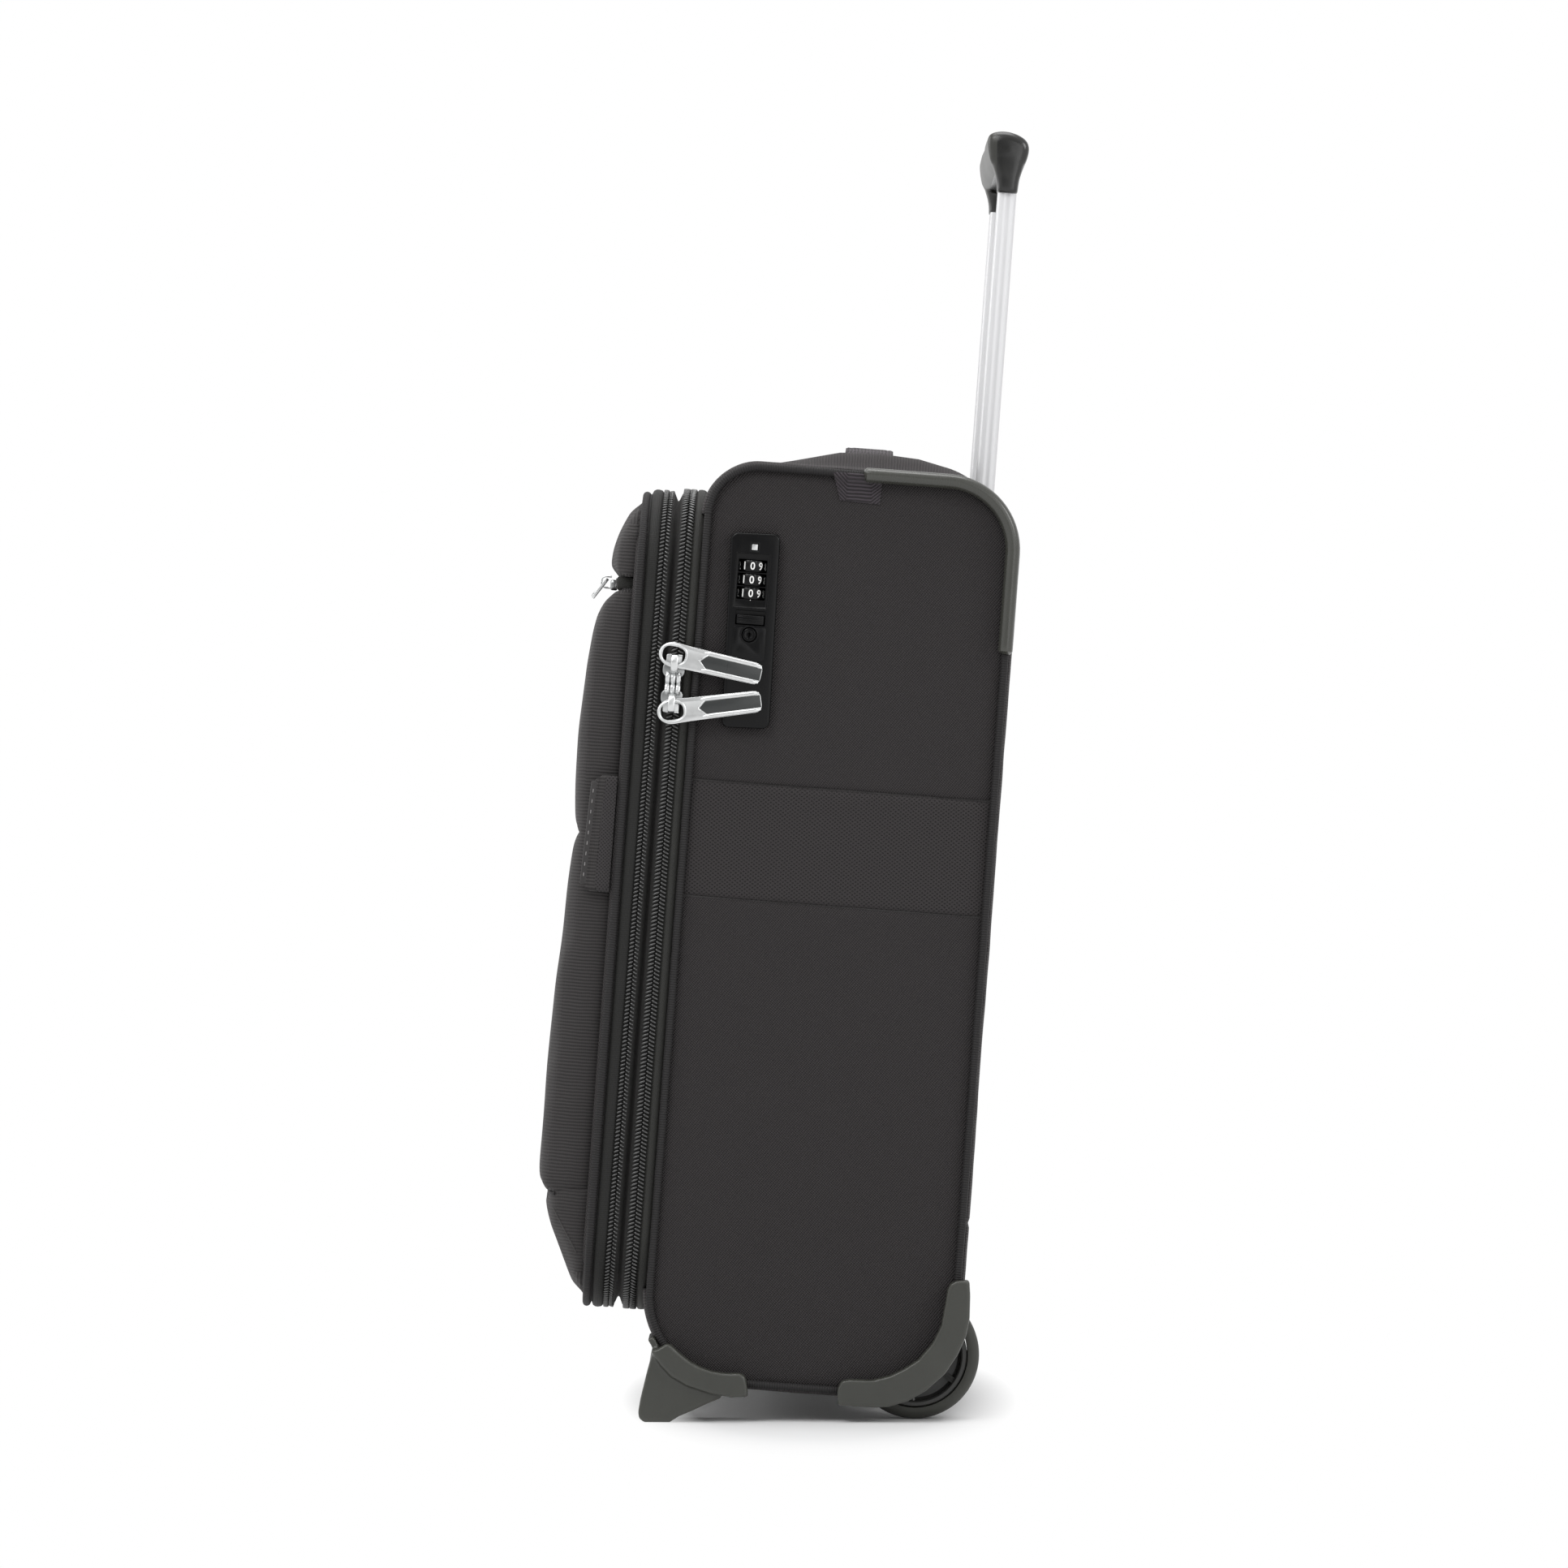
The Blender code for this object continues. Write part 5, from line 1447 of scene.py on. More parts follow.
# ================================================================ zip tapes and lid shell
# sections swept round the lid: (outward, y)
CASE_TAPE = [                                      # sewn to the case
    (-0.0016, -0.0868), (0.0002, -0.0876), (0.0010, -0.0888), (0.0012, -0.0905),
    (0.0010, -0.0920), (0.0000, -0.0927), (-0.0006, -0.0935), (-0.0007, -0.0966),
    (-0.0019, -0.0966), (-0.0022, -0.0930), (-0.0026, -0.0900), (-0.0030, -0.0870)]
MIDDLE_TAPE = [                                    # folded into the groove between the coils
    (-0.0007, -0.0969), (-0.0006, -0.1001), (-0.0010, -0.1010), (-0.0026, -0.1017),
    (-0.0048, -0.1026), (-0.0054, -0.1033), (-0.0048, -0.1040), (-0.0024, -0.1049),
    (-0.0009, -0.1056), (-0.0006, -0.1064), (-0.0007, -0.1086), (-0.0019, -0.1086),
    (-0.0022, -0.1060), (-0.0060, -0.1046), (-0.0068, -0.1033), (-0.0062, -0.1018),
    (-0.0022, -0.1004), (-0.0019, -0.0969)]
FRONT_BAND = [                                     # seat of the outer coil, smooth band, seam
    (-0.0007, -0.1089), (-0.0006, -0.1112), (0.0003, -0.1119), (0.0011, -0.1127),
    (0.0015, -0.1145), (0.0014, -0.1160), (0.0007, -0.1173), (-0.0006, -0.1179),
    (-0.0014, -0.1183), (-0.0014, -0.1195), (-0.0030, -0.1195), (-0.0030, -0.1180),
    (-0.0026, -0.1120), (-0.0019, -0.1089)]
INNER_WALL = [(-0.0031, -0.1092), (-0.0040, -0.1092), (-0.0040, -0.1180), (-0.0031, -0.1180)]
EDGE_STRIP = [(0.0, -0.1205), (0.0012, -0.1212), (0.0010, -0.1232), (-0.0006, -0.1246),
              (-0.0022, -0.1240), (-0.0026, -0.1206)]
sweep("zip_tape_case_cloth", lid_path(above=0.0050), CASE_TAPE, "xz", "tape", "case",
      "zip_tape", "zip_tape_case", step=0.0030)
sweep("lid_frame_cloth", lid_path(above=0.0042), MIDDLE_TAPE, "xz", "coil_tape", "lid_rear",
      "zip_tape", "lid_frame", step=0.0030)
sweep("lid_band_cloth", lid_path(above=0.0030), FRONT_BAND, "xz", "olive_band", "lid_front",
      "zip_tape", "lid_shell", step=0.0030)
sweep("lid_wall_lining", lid_path(above=0.0020, below=0.0010), INNER_WALL, "xz", "lining",
      "lid_front", "lining", step=0.0050, smooth=30)
prism("lid_face_cloth", lid_outline(0.0010, 14), "xz", -0.1184, -0.1206, "pocket_front",
      "lid_front", "fabric", 0.0007)
sweep("lid_piping_visual", lid_path(16, above=0.0016, below=0.0022),
      circle(0.0023, 14, -0.0010, -0.1210), "xz", "piping", "lid_front", "piping",
      "lid_piping", step=0.0012, wobble=0.00012)
# strip between the piping and the ribbed pocket side
sweep("lid_edge_strip", lid_outline(0.0042, 14), EDGE_STRIP, "xz", "side", "lid_front",
      "fabric", step=0.0040)

# ================================================================ zip coils
BAR_SIDES = 7
# share of the half length, share of the radius
LID_BAR = ((-1.0, 0.25), (-0.90, 0.78), (-0.45, 1.0), (0.30, 1.0), (0.86, 0.82), (1.0, 0.30))
POCKET_BAR = ((-1.0, 0.3), (-0.85, 0.85), (0.0, 1.0), (0.85, 0.85), (1.0, 0.3))


def lid_teeth(name, path, closed, y, lift, half, slant, body, phase=0.0, radius=0.00068,
              lean=0.0):
    """A row of coil turns: bars across the tape, slanted so that two rows make chevrons."""
    pitch = 0.00220
    points, _, total = resample(path, 0.001, closed)
    normals = normals_of(points, closed)
    count = len(points)
    bar = np.array([(along * half, size * radius * cos(tau * j / BAR_SIDES),
                     size * radius * 1.15 * sin(tau * j / BAR_SIDES))
                    for along, size in LID_BAR for j in range(BAR_SIDES)])
    cos_slant, sin_slant = cos(radians(slant)), sin(radians(slant))
    verts, faces = [], []
    for i in range(int(total / pitch)):
        distance = (i + 0.5 + phase) * pitch
        if distance > total:
            break
        place_along = distance / total * (count if closed else count - 1)
        here = int(place_along) % count
        normal = normals[here]
        out = -normal
        tangent = Vector((-normal.y, normal.x))
        point = points[here].lerp(points[(here + 1) % count], place_along - int(place_along))
        outward = np.array((out.x, 0.0, out.y))
        along_bar = np.array((tangent.x * sin_slant, cos_slant, tangent.y * sin_slant))
        along_bar = along_bar + outward * lean
        across_bar = np.array((tangent.x * cos_slant, -sin_slant, tangent.y * cos_slant))
        centre = np.array((point.x + out.x * lift, y, point.y + out.y * lift))
        faces += loft_faces(len(LID_BAR), BAR_SIDES, len(verts))
        verts.extend(map(tuple, centre + bar[:, :1] * along_bar + bar[:, 1:2] * across_bar
                         + bar[:, 2:3] * outward))
    mesh = new_mesh(name, verts, faces)
    fix_normals(mesh)
    box_uv(mesh)
    place(name, mesh, "coil", body, "gloss", smooth=80)


def pocket_teeth(name, offset, slant, phase):
    """A straight row of coil turns on the pocket zip."""
    half, radius, rise, pitch = 0.0014, 0.00055, 0.0006, 0.0020
    cos_slant, sin_slant = cos(radians(slant)), sin(radians(slant))
    verts, faces = [], []
    for i in range(int(0.332 / 0.0020)):
        x = -0.166 + (i + 0.5 + phase) * pitch
        faces += loft_faces(len(POCKET_BAR), BAR_SIDES, len(verts))
        for share, size in POCKET_BAR:
            along = share * half
            for j in range(BAR_SIDES):
                across = size * radius * cos(tau * j / BAR_SIDES)
                verts.append((x + along * sin_slant + across * cos_slant,
                              -0.1341 - size * rise * sin(tau * j / BAR_SIDES),
                              0.4597 + offset + along * cos_slant - across * sin_slant))
    add_solid(name, verts, faces, "coil", "lid_front", "gloss", smooth=80)


MAIN_PATH = lid_path(above=0.0048)
OUTER_PATH = lid_path()
lid_teeth("main_coil_case", MAIN_PATH, False, MAIN_ZIP_Y + 0.0019, lift=0.0006, half=0.00200,
          slant=24, body="case", phase=0.5)
lid_teeth("main_coil_lid", MAIN_PATH, False, MAIN_ZIP_Y - 0.0019, lift=0.0006, half=0.00200,
          slant=-24, body="lid_rear")
lid_teeth("outer_coil_rear", OUTER_PATH, True, OUTER_ZIP_Y + 0.0014, lift=0.0002,
          half=0.00150, slant=26, body="lid_rear", phase=0.5, lean=0.25, radius=0.00058)
lid_teeth("outer_coil_front", OUTER_PATH, True, OUTER_ZIP_Y - 0.0014, lift=0.0006,
          half=0.00155, slant=-26, body="lid_front", radius=0.00062)


# ================================================================ hinge and expansion cloth
def hinge_cloth():
    """Cloth on the left side, across the lid's hinge."""
    rows, cols = 60, 17

    def spot(t, s):
        z = 0.104 + (0.462 - 0.104) * t
        y = -0.0868 + (-0.1012 + 0.0868) * s
        x = (-0.1906 - 0.0018 * sin(pi * s)
             - 0.0003 * noise.noise(Vector((z * 60, s * 3, 1.0))))
        return (x, y, z), (y, z)

    verts, uvs = grid_points(rows, cols, spot)
    hinge = sheet("hinge_cloth", verts, grid_faces(rows, cols), uvs, "gusset", "fabric", 0.0012)
    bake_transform(hinge)


def expansion_cloth():
    """Folded cloth that lets the lid grow: hidden until the outer zip is opened."""
    points, lengths, _ = resample(lid_outline(0.0030, 10), 0.006, True)
    normals = normals_of(points, True)
    verts, uvs = [], []
    layers = 13
    for i in range(layers):
        t = i / (layers - 1)
        y = -0.1052 + (-0.1122 + 0.1052) * t
        fold = -0.0014 - 0.0030 * sin(pi * t) - (0.0008 if i % 2 else 0.0)
        for point, normal, along in zip(points, normals, lengths):
            verts.append((point.x - normal.x * fold, y, point.y - normal.y * fold))
            uvs.append((0.03 * t, along))
    cloth = sheet("expansion_gusset_cloth", verts,
                  loft_faces(layers, len(points), capped=False), uvs, "gusset", "fabric",
                  0.0007, prepare=fix_normals)
    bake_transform(cloth)


hinge_cloth()
expansion_cloth()

# ================================================================ pockets
PILLOW_INSET, PILLOW_EDGE, PILLOW_CROWN = 0.0012, 0.010, 0.0035


def pillow_ring(y, z):
    """Section across a pocket whose face stands at y."""
    half = POCKET_X - PILLOW_INSET
    depth = POCKET_BACK - y - PILLOW_INSET
    radius = min(PILLOW_EDGE, max(0.001, depth * 0.75))
    ring = []
    for k in range(47):
        s = -1 + 2 * k / 46
        if abs(s) > 0.5:
            x = half * (1 - (1 - abs(s)) ** 1.25) * (1 if s >= 0 else -1)
        else:
            x = s * half * (1 - 0.5 ** 1.25) / 0.5
        edge = half - abs(x)
        face = POCKET_BACK - depth + PILLOW_CROWN * (abs(x) / POCKET_X) ** 3
        if edge < radius:
            face += radius - sqrt(max(0.0, radius * radius - (radius - edge) ** 2))
        ring.append((x, min(face, POCKET_BACK - 0.0008), z))
    return ring + [(half, POCKET_BACK, z), (0.0, POCKET_BACK, z), (-half, POCKET_BACK, z)]


def inflate(obj, before, cap):
    """Blows the pocket up as cloth and returns its points, moved no further than cap."""
    modifier = obj.modifiers.new("cloth", "CLOTH")
    settings = modifier.settings
    settings.quality = 4
    settings.mass = 0.25
    settings.tension_stiffness = settings.compression_stiffness = 14
    settings.shear_stiffness = 5
    settings.bending_stiffness = 0.6
    settings.use_pressure = True
    settings.uniform_pressure_force = 3.0
    settings.effector_weights.gravity = 0.0
    modifier.collision_settings.use_collision = False
    modifier.point_cache.frame_start, modifier.point_cache.frame_end = 1, 20
    scene = bpy.context.scene
    for frame in range(1, 21):
        scene.frame_set(frame)
    after = read_vectors(evaluated(obj).data.vertices)
    obj.modifiers.clear()
    scene.frame_set(1)
    # guards against a simulation that blew up
    if len(after) != len(before) or not np.isfinite(after).all():
        return before
    move = after - before
    length = np.linalg.norm(move, axis=1, keepdims=True)
    return before + move * np.minimum(1.0, cap / np.maximum(length, 1e-9))


def add_slack(mesh, low, high, seed):
    """Long soft ripples in the cloth, and small puckers by the seams."""
    points = read_vectors(mesh.vertices)
    normals = read_vectors(mesh.vertices, "normal")
    for i in range(len(points)):
        x, y, z = points[i]
        if y > POCKET_BACK - 0.0015:
            continue
        to_seam = max(min(z - low, high - z), 0)
        to_side = max(POCKET_X - abs(x), 0)
        ripple = 0.0007 * noise.noise(Vector((x * 9 + seed, y * 9, z * 18)))
        pucker = (0.0008 * noise.noise(Vector((x * 55 + seed, y * 30, z * 16)))
                  * exp(-to_seam / 0.016))
        side_pucker = (0.0006 * noise.noise(Vector((x * 30, y * 60 + seed, z * 60)))
                       * exp(-to_side / 0.016))
        points[i] += normals[i] * (ripple + pucker + side_pucker - 0.0002)
    mesh.vertices.foreach_set("co", points.ravel())
    mesh.update()


def pillow(name, replaces, profile, seed, cap, at_corners):
    """Padded pocket lofted from its (y, z) side profile and blown up a little."""
    rings = [pillow_ring(point.x, point.y) for point in resample(profile, 0.0042, False)[0]]
    mesh = new_mesh(name, [spot for ring in rings for spot in ring],
                    loft_faces(len(rings), len(rings[0])))
    fix_normals(mesh)
    obj = new_object(name, mesh)
    if at_corners:                                 # follow the rounded corners of the lid
        keep = prism_object(name + "_keep", lid_outline(0.0012, 12), "xz", -0.19, -0.10)
        combine(obj, [keep], "INTERSECT")
    modify(obj, "REMESH", mode="VOXEL", voxel_size=0.0046)
    modify(obj, "SMOOTH", iterations=2, factor=0.4)
    points = read_vectors(obj.data.vertices)
    points = inflate(obj, points, cap)
    low, high = min(z for _, z in profile), max(z for _, z in profile)
    points[:, 0] = np.clip(points[:, 0], -POCKET_X - 0.0004, POCKET_X + 0.0004)
    points[:, 1] = np.minimum(points[:, 1], POCKET_BACK + 0.0002)
    points[:, 2] = np.clip(points[:, 2], low - 0.0004, high + 0.0004)
    obj.data.vertices.foreach_set("co", points.ravel())
    obj.data.update()
    modify(obj, "SUBSURF", levels=1, render_levels=1)
    add_slack(obj.data, low, high, seed)
    box_uv(obj.data)
    obj.data.transform(TO_WORLD)
    return dress(obj, "pocket", "lid_front", "pocket_fabric", replaces, 180)


# name, CAD piece, side profile (y, z), seed, most swelling, whether it reaches the corners
POCKETS = (
    ("front_lower_cloth", "front_lower_panel",
     [(-0.1222, 0.0548), (-0.1275, 0.0582), (-0.1350, 0.0732), (-0.1426, 0.0900),
      (-0.1476, 0.1000), (-0.1502, 0.1100), (-0.1506, 0.1215)], 3.0, 0.0016, True),
    ("pocket_lower_cloth", "pocket_lower",
     [(-0.1512, 0.1150), (-0.1546, 0.1168), (-0.1546, 0.1840), (-0.1533, 0.2340),
      (-0.1510, 0.2620), (-0.1500, 0.2920), (-0.1488, 0.3130), (-0.1484, 0.3228)],
     1.0, 0.0020, False),
    ("pocket_upper_cloth", "pocket_upper",
     [(-0.1486, 0.3162), (-0.1494, 0.3300), (-0.1504, 0.3450), (-0.1510, 0.3760),
      (-0.1492, 0.4140), (-0.1470, 0.4340), (-0.1442, 0.4460), (-0.1406, 0.4530),
      (-0.1362, 0.4572)], 2.0, 0.0020, False),
    ("pocket_top_cloth", "pocket_top_panel",
     [(-0.1366, 0.4620), (-0.1398, 0.4682), (-0.1396, 0.4771), (-0.1372, 0.4872),
      (-0.1322, 0.4985), (-0.1270, 0.5076), (-0.1236, 0.5112)], 4.0, 0.0016, True))
pockets = [pillow(*row) for row in POCKETS]

box("pocket_zip_tape_cloth", (-0.1705, 0.1705), (-0.1338, -0.1212), (0.4563, 0.4632), "tape",
    "lid_front", "zip_tape", 0.0008, 3, "pocket_zip_tape")
pocket_teeth("pocket_coil_upper", offset=0.0013, slant=26, phase=0.5)
pocket_teeth("pocket_coil_lower", offset=-0.0013, slant=-26, phase=0.0)


# ---------------------------------------------------------------- cords laid on the pockets
def tree_of(objects):
    verts, faces = [], []
    for obj in objects:
        start = len(verts)
        verts += [TO_LOCAL @ vert.co for vert in obj.data.vertices]
        faces += [tuple(start + i for i in face.vertices) for face in obj.data.polygons]
    return BVHTree.FromPolygons(verts, faces)


pocket_tree = tree_of(pockets)


def drop_side(y, z, side_sign):
    """A point laid just above the cloth on the pockets' side."""
    hit = pocket_tree.ray_cast(Vector((side_sign * 0.25, y, z)), Vector((-side_sign, 0, 0)))[0]
    on_cloth = hit is not None and abs(hit.x) > 0.170
    x = hit.x if on_cloth else side_sign * (POCKET_X - 0.002)
    return (x + side_sign * 0.0002, y, z)


def drop_front(x, z):
    """A point laid on the front of the pockets."""
    hit = pocket_tree.ray_cast(Vector((x, -0.25, z)), Vector((0, 1, 0)))[0]
    return (x, hit.y if hit is not None else POCKET_BACK, z)


for side_name, side_sign in SIDES:                 # diagonal seam low on the side
    cord("lower_side_seam_" + side_name,
         [drop_side(-0.1432 + 0.0150 * t, 0.1080 - 0.0240 * t, side_sign)
          for t in np.linspace(0, 1, 24)], 0.00035, "label", "lid_front", "pocket_fabric")
for name, z in (("pocket_mouth_lip", 0.4560), ("pocket_foot_lip", 0.1160)):
    cord(name, [drop_front(x, z) for x in np.linspace(-0.1765, 0.1765, 120)], 0.0011,
         "piping", "lid_front", "piping")


# ---------------------------------------------------------------- bands on the lid's sides
def side_band(side_name, side_sign, replaces=None):
    """Ribbed cloth in front and mesh behind, with a stitched strip along the front edge."""
    rows, cols = 61, 33
    bottom, height, back, corner = 0.2872, 0.3508 - 0.2872, -0.1250, 0.0035

    def spot(t, s):
        z = bottom + height * t
        front = -0.1392 + 0.0026 * t
        edge_z = min(t, 1 - t) * 0.0636
        inset = 0.0
        if edge_z < corner:
            inset = corner - sqrt(max(0, corner * corner - (corner - edge_z) ** 2))
        y = front + inset + (back - front - inset) * s
        edge = min(y - front, edge_z)
        x = (POCKET_X + 0.0006 + 0.0011 * (1 - exp(-max(edge, 0) / 0.0007))
             + 0.0003 * noise.noise(Vector((y * 80, z * 50, 2.0))))
        x -= 0.0004 * exp(-abs(edge - 0.0018) / 0.0004)
        return (side_sign * x, y, z), (y, z)

    verts, uvs = grid_points(rows, cols, spot)
    faces = grid_faces(rows, cols)
    split = int(cols * 0.42)
    for tag, mat, is_front, covers in (("ribbed", "pocket", True, replaces),
                                       ("mesh", "mesh", False, None)):
        part = [face for k, face in enumerate(faces) if (k % (cols - 1) < split) == is_front]
        if side_sign > 0:
            part = [face[::-1] for face in part]
        used = sorted(set(i for face in part for i in face))
        renumber = {i: k for k, i in enumerate(used)}
        sheet(f"lid_band_{tag}_{side_name}", [verts[i] for i in used],
              [tuple(renumber[i] for i in face) for face in part], [uvs[i] for i in used],
              mat, "webbing", 0.0013, "lid_front", covers)

    tilt = Matrix.Rotation(radians(-2.3), 4, "X")
    box("lid_band_strip_" + side_name, sorted((side_sign * 0.1836, side_sign * 0.1862)),
        (-0.0018, 0.0018), (-0.0290, 0.0290), "stitch", "lid_front", "webbing", 0.0008, 3,
        turn=Matrix.Translation((0, -0.1388, 0.3190)) @ tilt)
    for k in range(9):
        z = -0.0235 + 0.0470 * k / 8
        box(f"lid_band_stitch_{side_name}_{k}",
            sorted((side_sign * 0.1861, side_sign * 0.1864)), (-0.00025, 0.00025),
            (z - 0.0010, z + 0.0010), "thread", "lid_front", "webbing", 0.00015, 2,
            turn=Matrix.Translation((0, -0.1390, 0.3190)) @ tilt)


side_band("right", 1, "lid_band_right")
side_band("left", -1)


# ================================================================ inside the case
def lining():
    """The CAD lining with its long edges split."""
    obj = new_object("lining_cloth_visual", CAD_NODES["lining"].data.copy())
    work = bmesh.new()
    work.from_mesh(obj.data)
    bmesh.ops.remove_doubles(work, verts=work.verts, dist=1e-6)
    for _ in range(3):
        edges = [edge for edge in work.edges if edge.calc_length() > 0.030]
        bmesh.ops.subdivide_edges(work, edges=edges, cuts=1, use_grid_fill=True)
        bmesh.ops.triangulate(work, faces=[face for face in work.faces if len(face.verts) > 4])
    work.to_mesh(obj.data)
    work.free()
    map_and_dress(obj, "lining", "case", "lining", "lining")


def packing_strap(name, outer_x, inner_x):
    """Strap bowed in depth between the wall and the buckle."""
    rows, cols = 40, 9

    def spot(t, s):
        x = outer_x + (inner_x - outer_x) * t
        z = 0.255 + (0.275 - 0.255) * s
        return (x, 0.0520 - 0.0030 * (1 - (x / 0.150) ** 2), z), (x, z)

    verts, uvs = grid_points(rows, cols, spot)
    sheet(name, verts, grid_faces(rows, cols), uvs, "webbing", "webbing", 0.0014, "case",
          offset=0, prepare=fix_normals)


lining()
packing_strap("packing_strap_a", -0.150, -0.012)
packing_strap("packing_strap_b", 0.150, 0.012)
box("packing_buckle_frame", (-0.0200, 0.0050), (0.0455, 0.0495), (0.2500, 0.2800), "moulded",
    "case", "moulded", 0.0012, 3)
box("packing_buckle_tongue", (0.0054, 0.0200), (0.0460, 0.0490), (0.2530, 0.2770), "moulded",
    "case", "moulded", 0.0010, 3)
prism("lid_lining_visual", lid_outline(0.0050, 12), "xz", -0.1087, -0.1075, "lining",
      "lid_front", "lining", 0.0004, 2, "lid_lining")
prism("lid_net_pocket", rounded([(-0.160, 0.090, 0.02), (0.160, 0.090, 0.02),
                                 (0.160, 0.330, 0.004), (-0.160, 0.330, 0.004)]),
      "xz", -0.1072, -0.1062, "lining_net", "lid_front", "lining", 0.0004)
box("lid_net_hem", (-0.1610, 0.1610), (-0.1072, -0.1056), (0.3230, 0.3330), "webbing",
    "lid_front", "webbing", 0.0006, 2)
cord("lid_net_zip", [(x, -0.1058, 0.3400) for x in np.linspace(-0.158, 0.158, 60)], 0.0012,
     "coil", "lid_front", "gloss")

# ================================================================ lock
DIAL_HEIGHTS = (0.4741, 0.4664, 0.4588)
DIAL_X, DIAL_Y, DIAL_R, DIAL_H = 0.1877, -0.0585, 0.0076, 0.0066
KEY_Y, KEY_Z = -0.0577, 0.4357
FACE_X = 0.1953                                    # where the raised frames start
LOCK_OUTLINE = [(-0.0719, 0.4922, 0.004), (-0.0443, 0.4929, 0.004),    # y, z, corner radius
                (-0.0425, 0.3842, 0.004), (-0.0691, 0.3832, 0.004)]


def lock_plate():
    """Face plate on a block, with openings for dials, slide, window and key."""
    lock = prism("lock_plate_visual", rounded(LOCK_OUTLINE, 8), "yz", 0.1904, 0.1955, "lock",
                 None, None, 0.0013, 4)
    combine(lock, [box_tool((0.1766, 0.1912), (-0.0660, -0.0480), (0.3880, 0.4882))], "UNION")
    openings = [box_tool((0.1945, 0.21), (-0.0683, -0.0489), (0.4504, 0.4812), 0.0012, 3)]
    openings += [box_tool((0.1790, 0.21), (DIAL_Y - 0.0080, DIAL_Y + 0.0080),
                          (z - 0.00355, z + 0.00355), 0.0004, 2) for z in DIAL_HEIGHTS]
    openings += [box_tool((0.1919, 0.21), (-0.0660, -0.0494), (0.4409, 0.4492), 0.0004, 2),
                 box_tool((0.1940, 0.21), (-0.0606, -0.0558), (0.4822, 0.4870), 0.0004, 2)]
    combine(lock, openings)
    bore = lathe("tool", [(0.0001, -0.02), (0.0043, -0.02), (0.0043, 0.02), (0.0001, 0.02)],
                 "lock_dark", None, (0.2050, KEY_Y, KEY_Z), 40)
    combine(lock, [bore])
    map_and_dress(lock, "lock", "case", "lock_black", "lock_housing", 30)


def lock_frame(name, rings, top_x, bevel):
    prism(name, rings, "yz", FACE_X, top_x, "lock", "case", "lock_black", bevel)


lock_plate()
lock_frame("lock_key_tile", [round_rect(-0.0668, -0.0484, 0.4212, 0.4402, 0.0015),
                             circle(0.0050, 40, KEY_Y, KEY_Z)], 0.1959, 0.00022)
lock_frame("lock_key_rim", [circle(0.0052, 48, KEY_Y, KEY_Z),
                            circle(0.0044, 48, KEY_Y, KEY_Z)], 0.1961, 0.0002)
lock_frame("lock_window_rim", [round_rect(-0.0611, -0.0553, 0.4817, 0.4875, 0.0007),
                               round_rect(-0.0605, -0.0559, 0.4823, 0.4869, 0.0005)],
           0.1958, 0.00012)
box("lock_window_plate", (0.1936, 0.1946), (-0.0600, -0.0564), (0.4828, 0.4864), "zinc",
    "case", "zinc", 0.0003, 3)
lock_frame("lock_dial_rim", [round_rect(-0.0686, -0.0486, 0.4501, 0.4815, 0.0014),
                             round_rect(-0.0681, -0.0491, 0.4506, 0.4810, 0.0011)],
           0.1957, 0.00012)
box("lock_index_mark", (0.1945, 0.1947), (DIAL_Y - 0.00018, DIAL_Y + 0.00018),
    (0.4548, 0.4552), "digit", "case", "lock_black", 0.0, 1)


# ---------------------------------------------------------------- dials
def text_mesh(text, height):
    """Flat triangles of a figure, centred: points (a, b) and faces."""
    curve = bpy.data.curves.new("figure", "FONT")
    curve.body = text
    curve.size = 1.0
    curve.resolution_u = 3
    curve.offset = 0.016
    curve.align_x = "CENTER"
    flat = new_object("figure", curve)
    mesh = bpy.data.meshes.new_from_object(evaluated(flat))
    bpy.data.objects.remove(flat, do_unlink=True)
    bpy.data.curves.remove(curve)
    work = bmesh.new()
    work.from_mesh(mesh)
    bmesh.ops.remove_doubles(work, verts=work.verts, dist=1e-5)
    bmesh.ops.triangulate(work, faces=work.faces)
    for _ in range(2):                             # short enough across to bend round the drum
        wide = [edge for edge in work.edges
                if abs(edge.verts[0].co.x - edge.verts[1].co.x) > 0.12]
        bmesh.ops.subdivide_edges(work, edges=wide, cuts=1)
        bmesh.ops.triangulate(work, faces=work.faces)
    points = [vert.co.copy() for vert in work.verts]
    work.verts.index_update()
    faces = [tuple(vert.index for vert in face.verts) for face in work.faces]
    work.free()
    bpy.data.meshes.remove(mesh)
    x0, x1 = min(point.x for point in points), max(point.x for point in points)
    y0, y1 = min(point.y for point in points), max(point.y for point in points)
    scale = height / (y1 - y0)
    return [((point.x - (x0 + x1) / 2) * scale, (point.y - (y0 + y1) / 2) * scale)
            for point in points], faces


def dial_drum(body, dial_z):
    """Drum with soft flutes between its ten figures."""
    # share of the height, share of the radius
    rows = [(-0.5, 0.90), (-0.47, 0.965), (-0.40, 1.0), (0.40, 1.0), (0.47, 0.965), (0.5, 0.90)]
    count = 100
    verts = []
    for share, size in rows:
        for j in range(count):
            angle = tau * j / count
            radius = (DIAL_R - 0.00030 * (0.5 - 0.5 * cos(10 * angle)) ** 3) * size
            verts.append((DIAL_X + radius * cos(angle), DIAL_Y + radius * sin(angle),
                          dial_z + share * DIAL_H))
    add(body + "_drum", verts, loft_faces(len(rows), count), "lock", body, "lock_black", body,
        smooth=30)


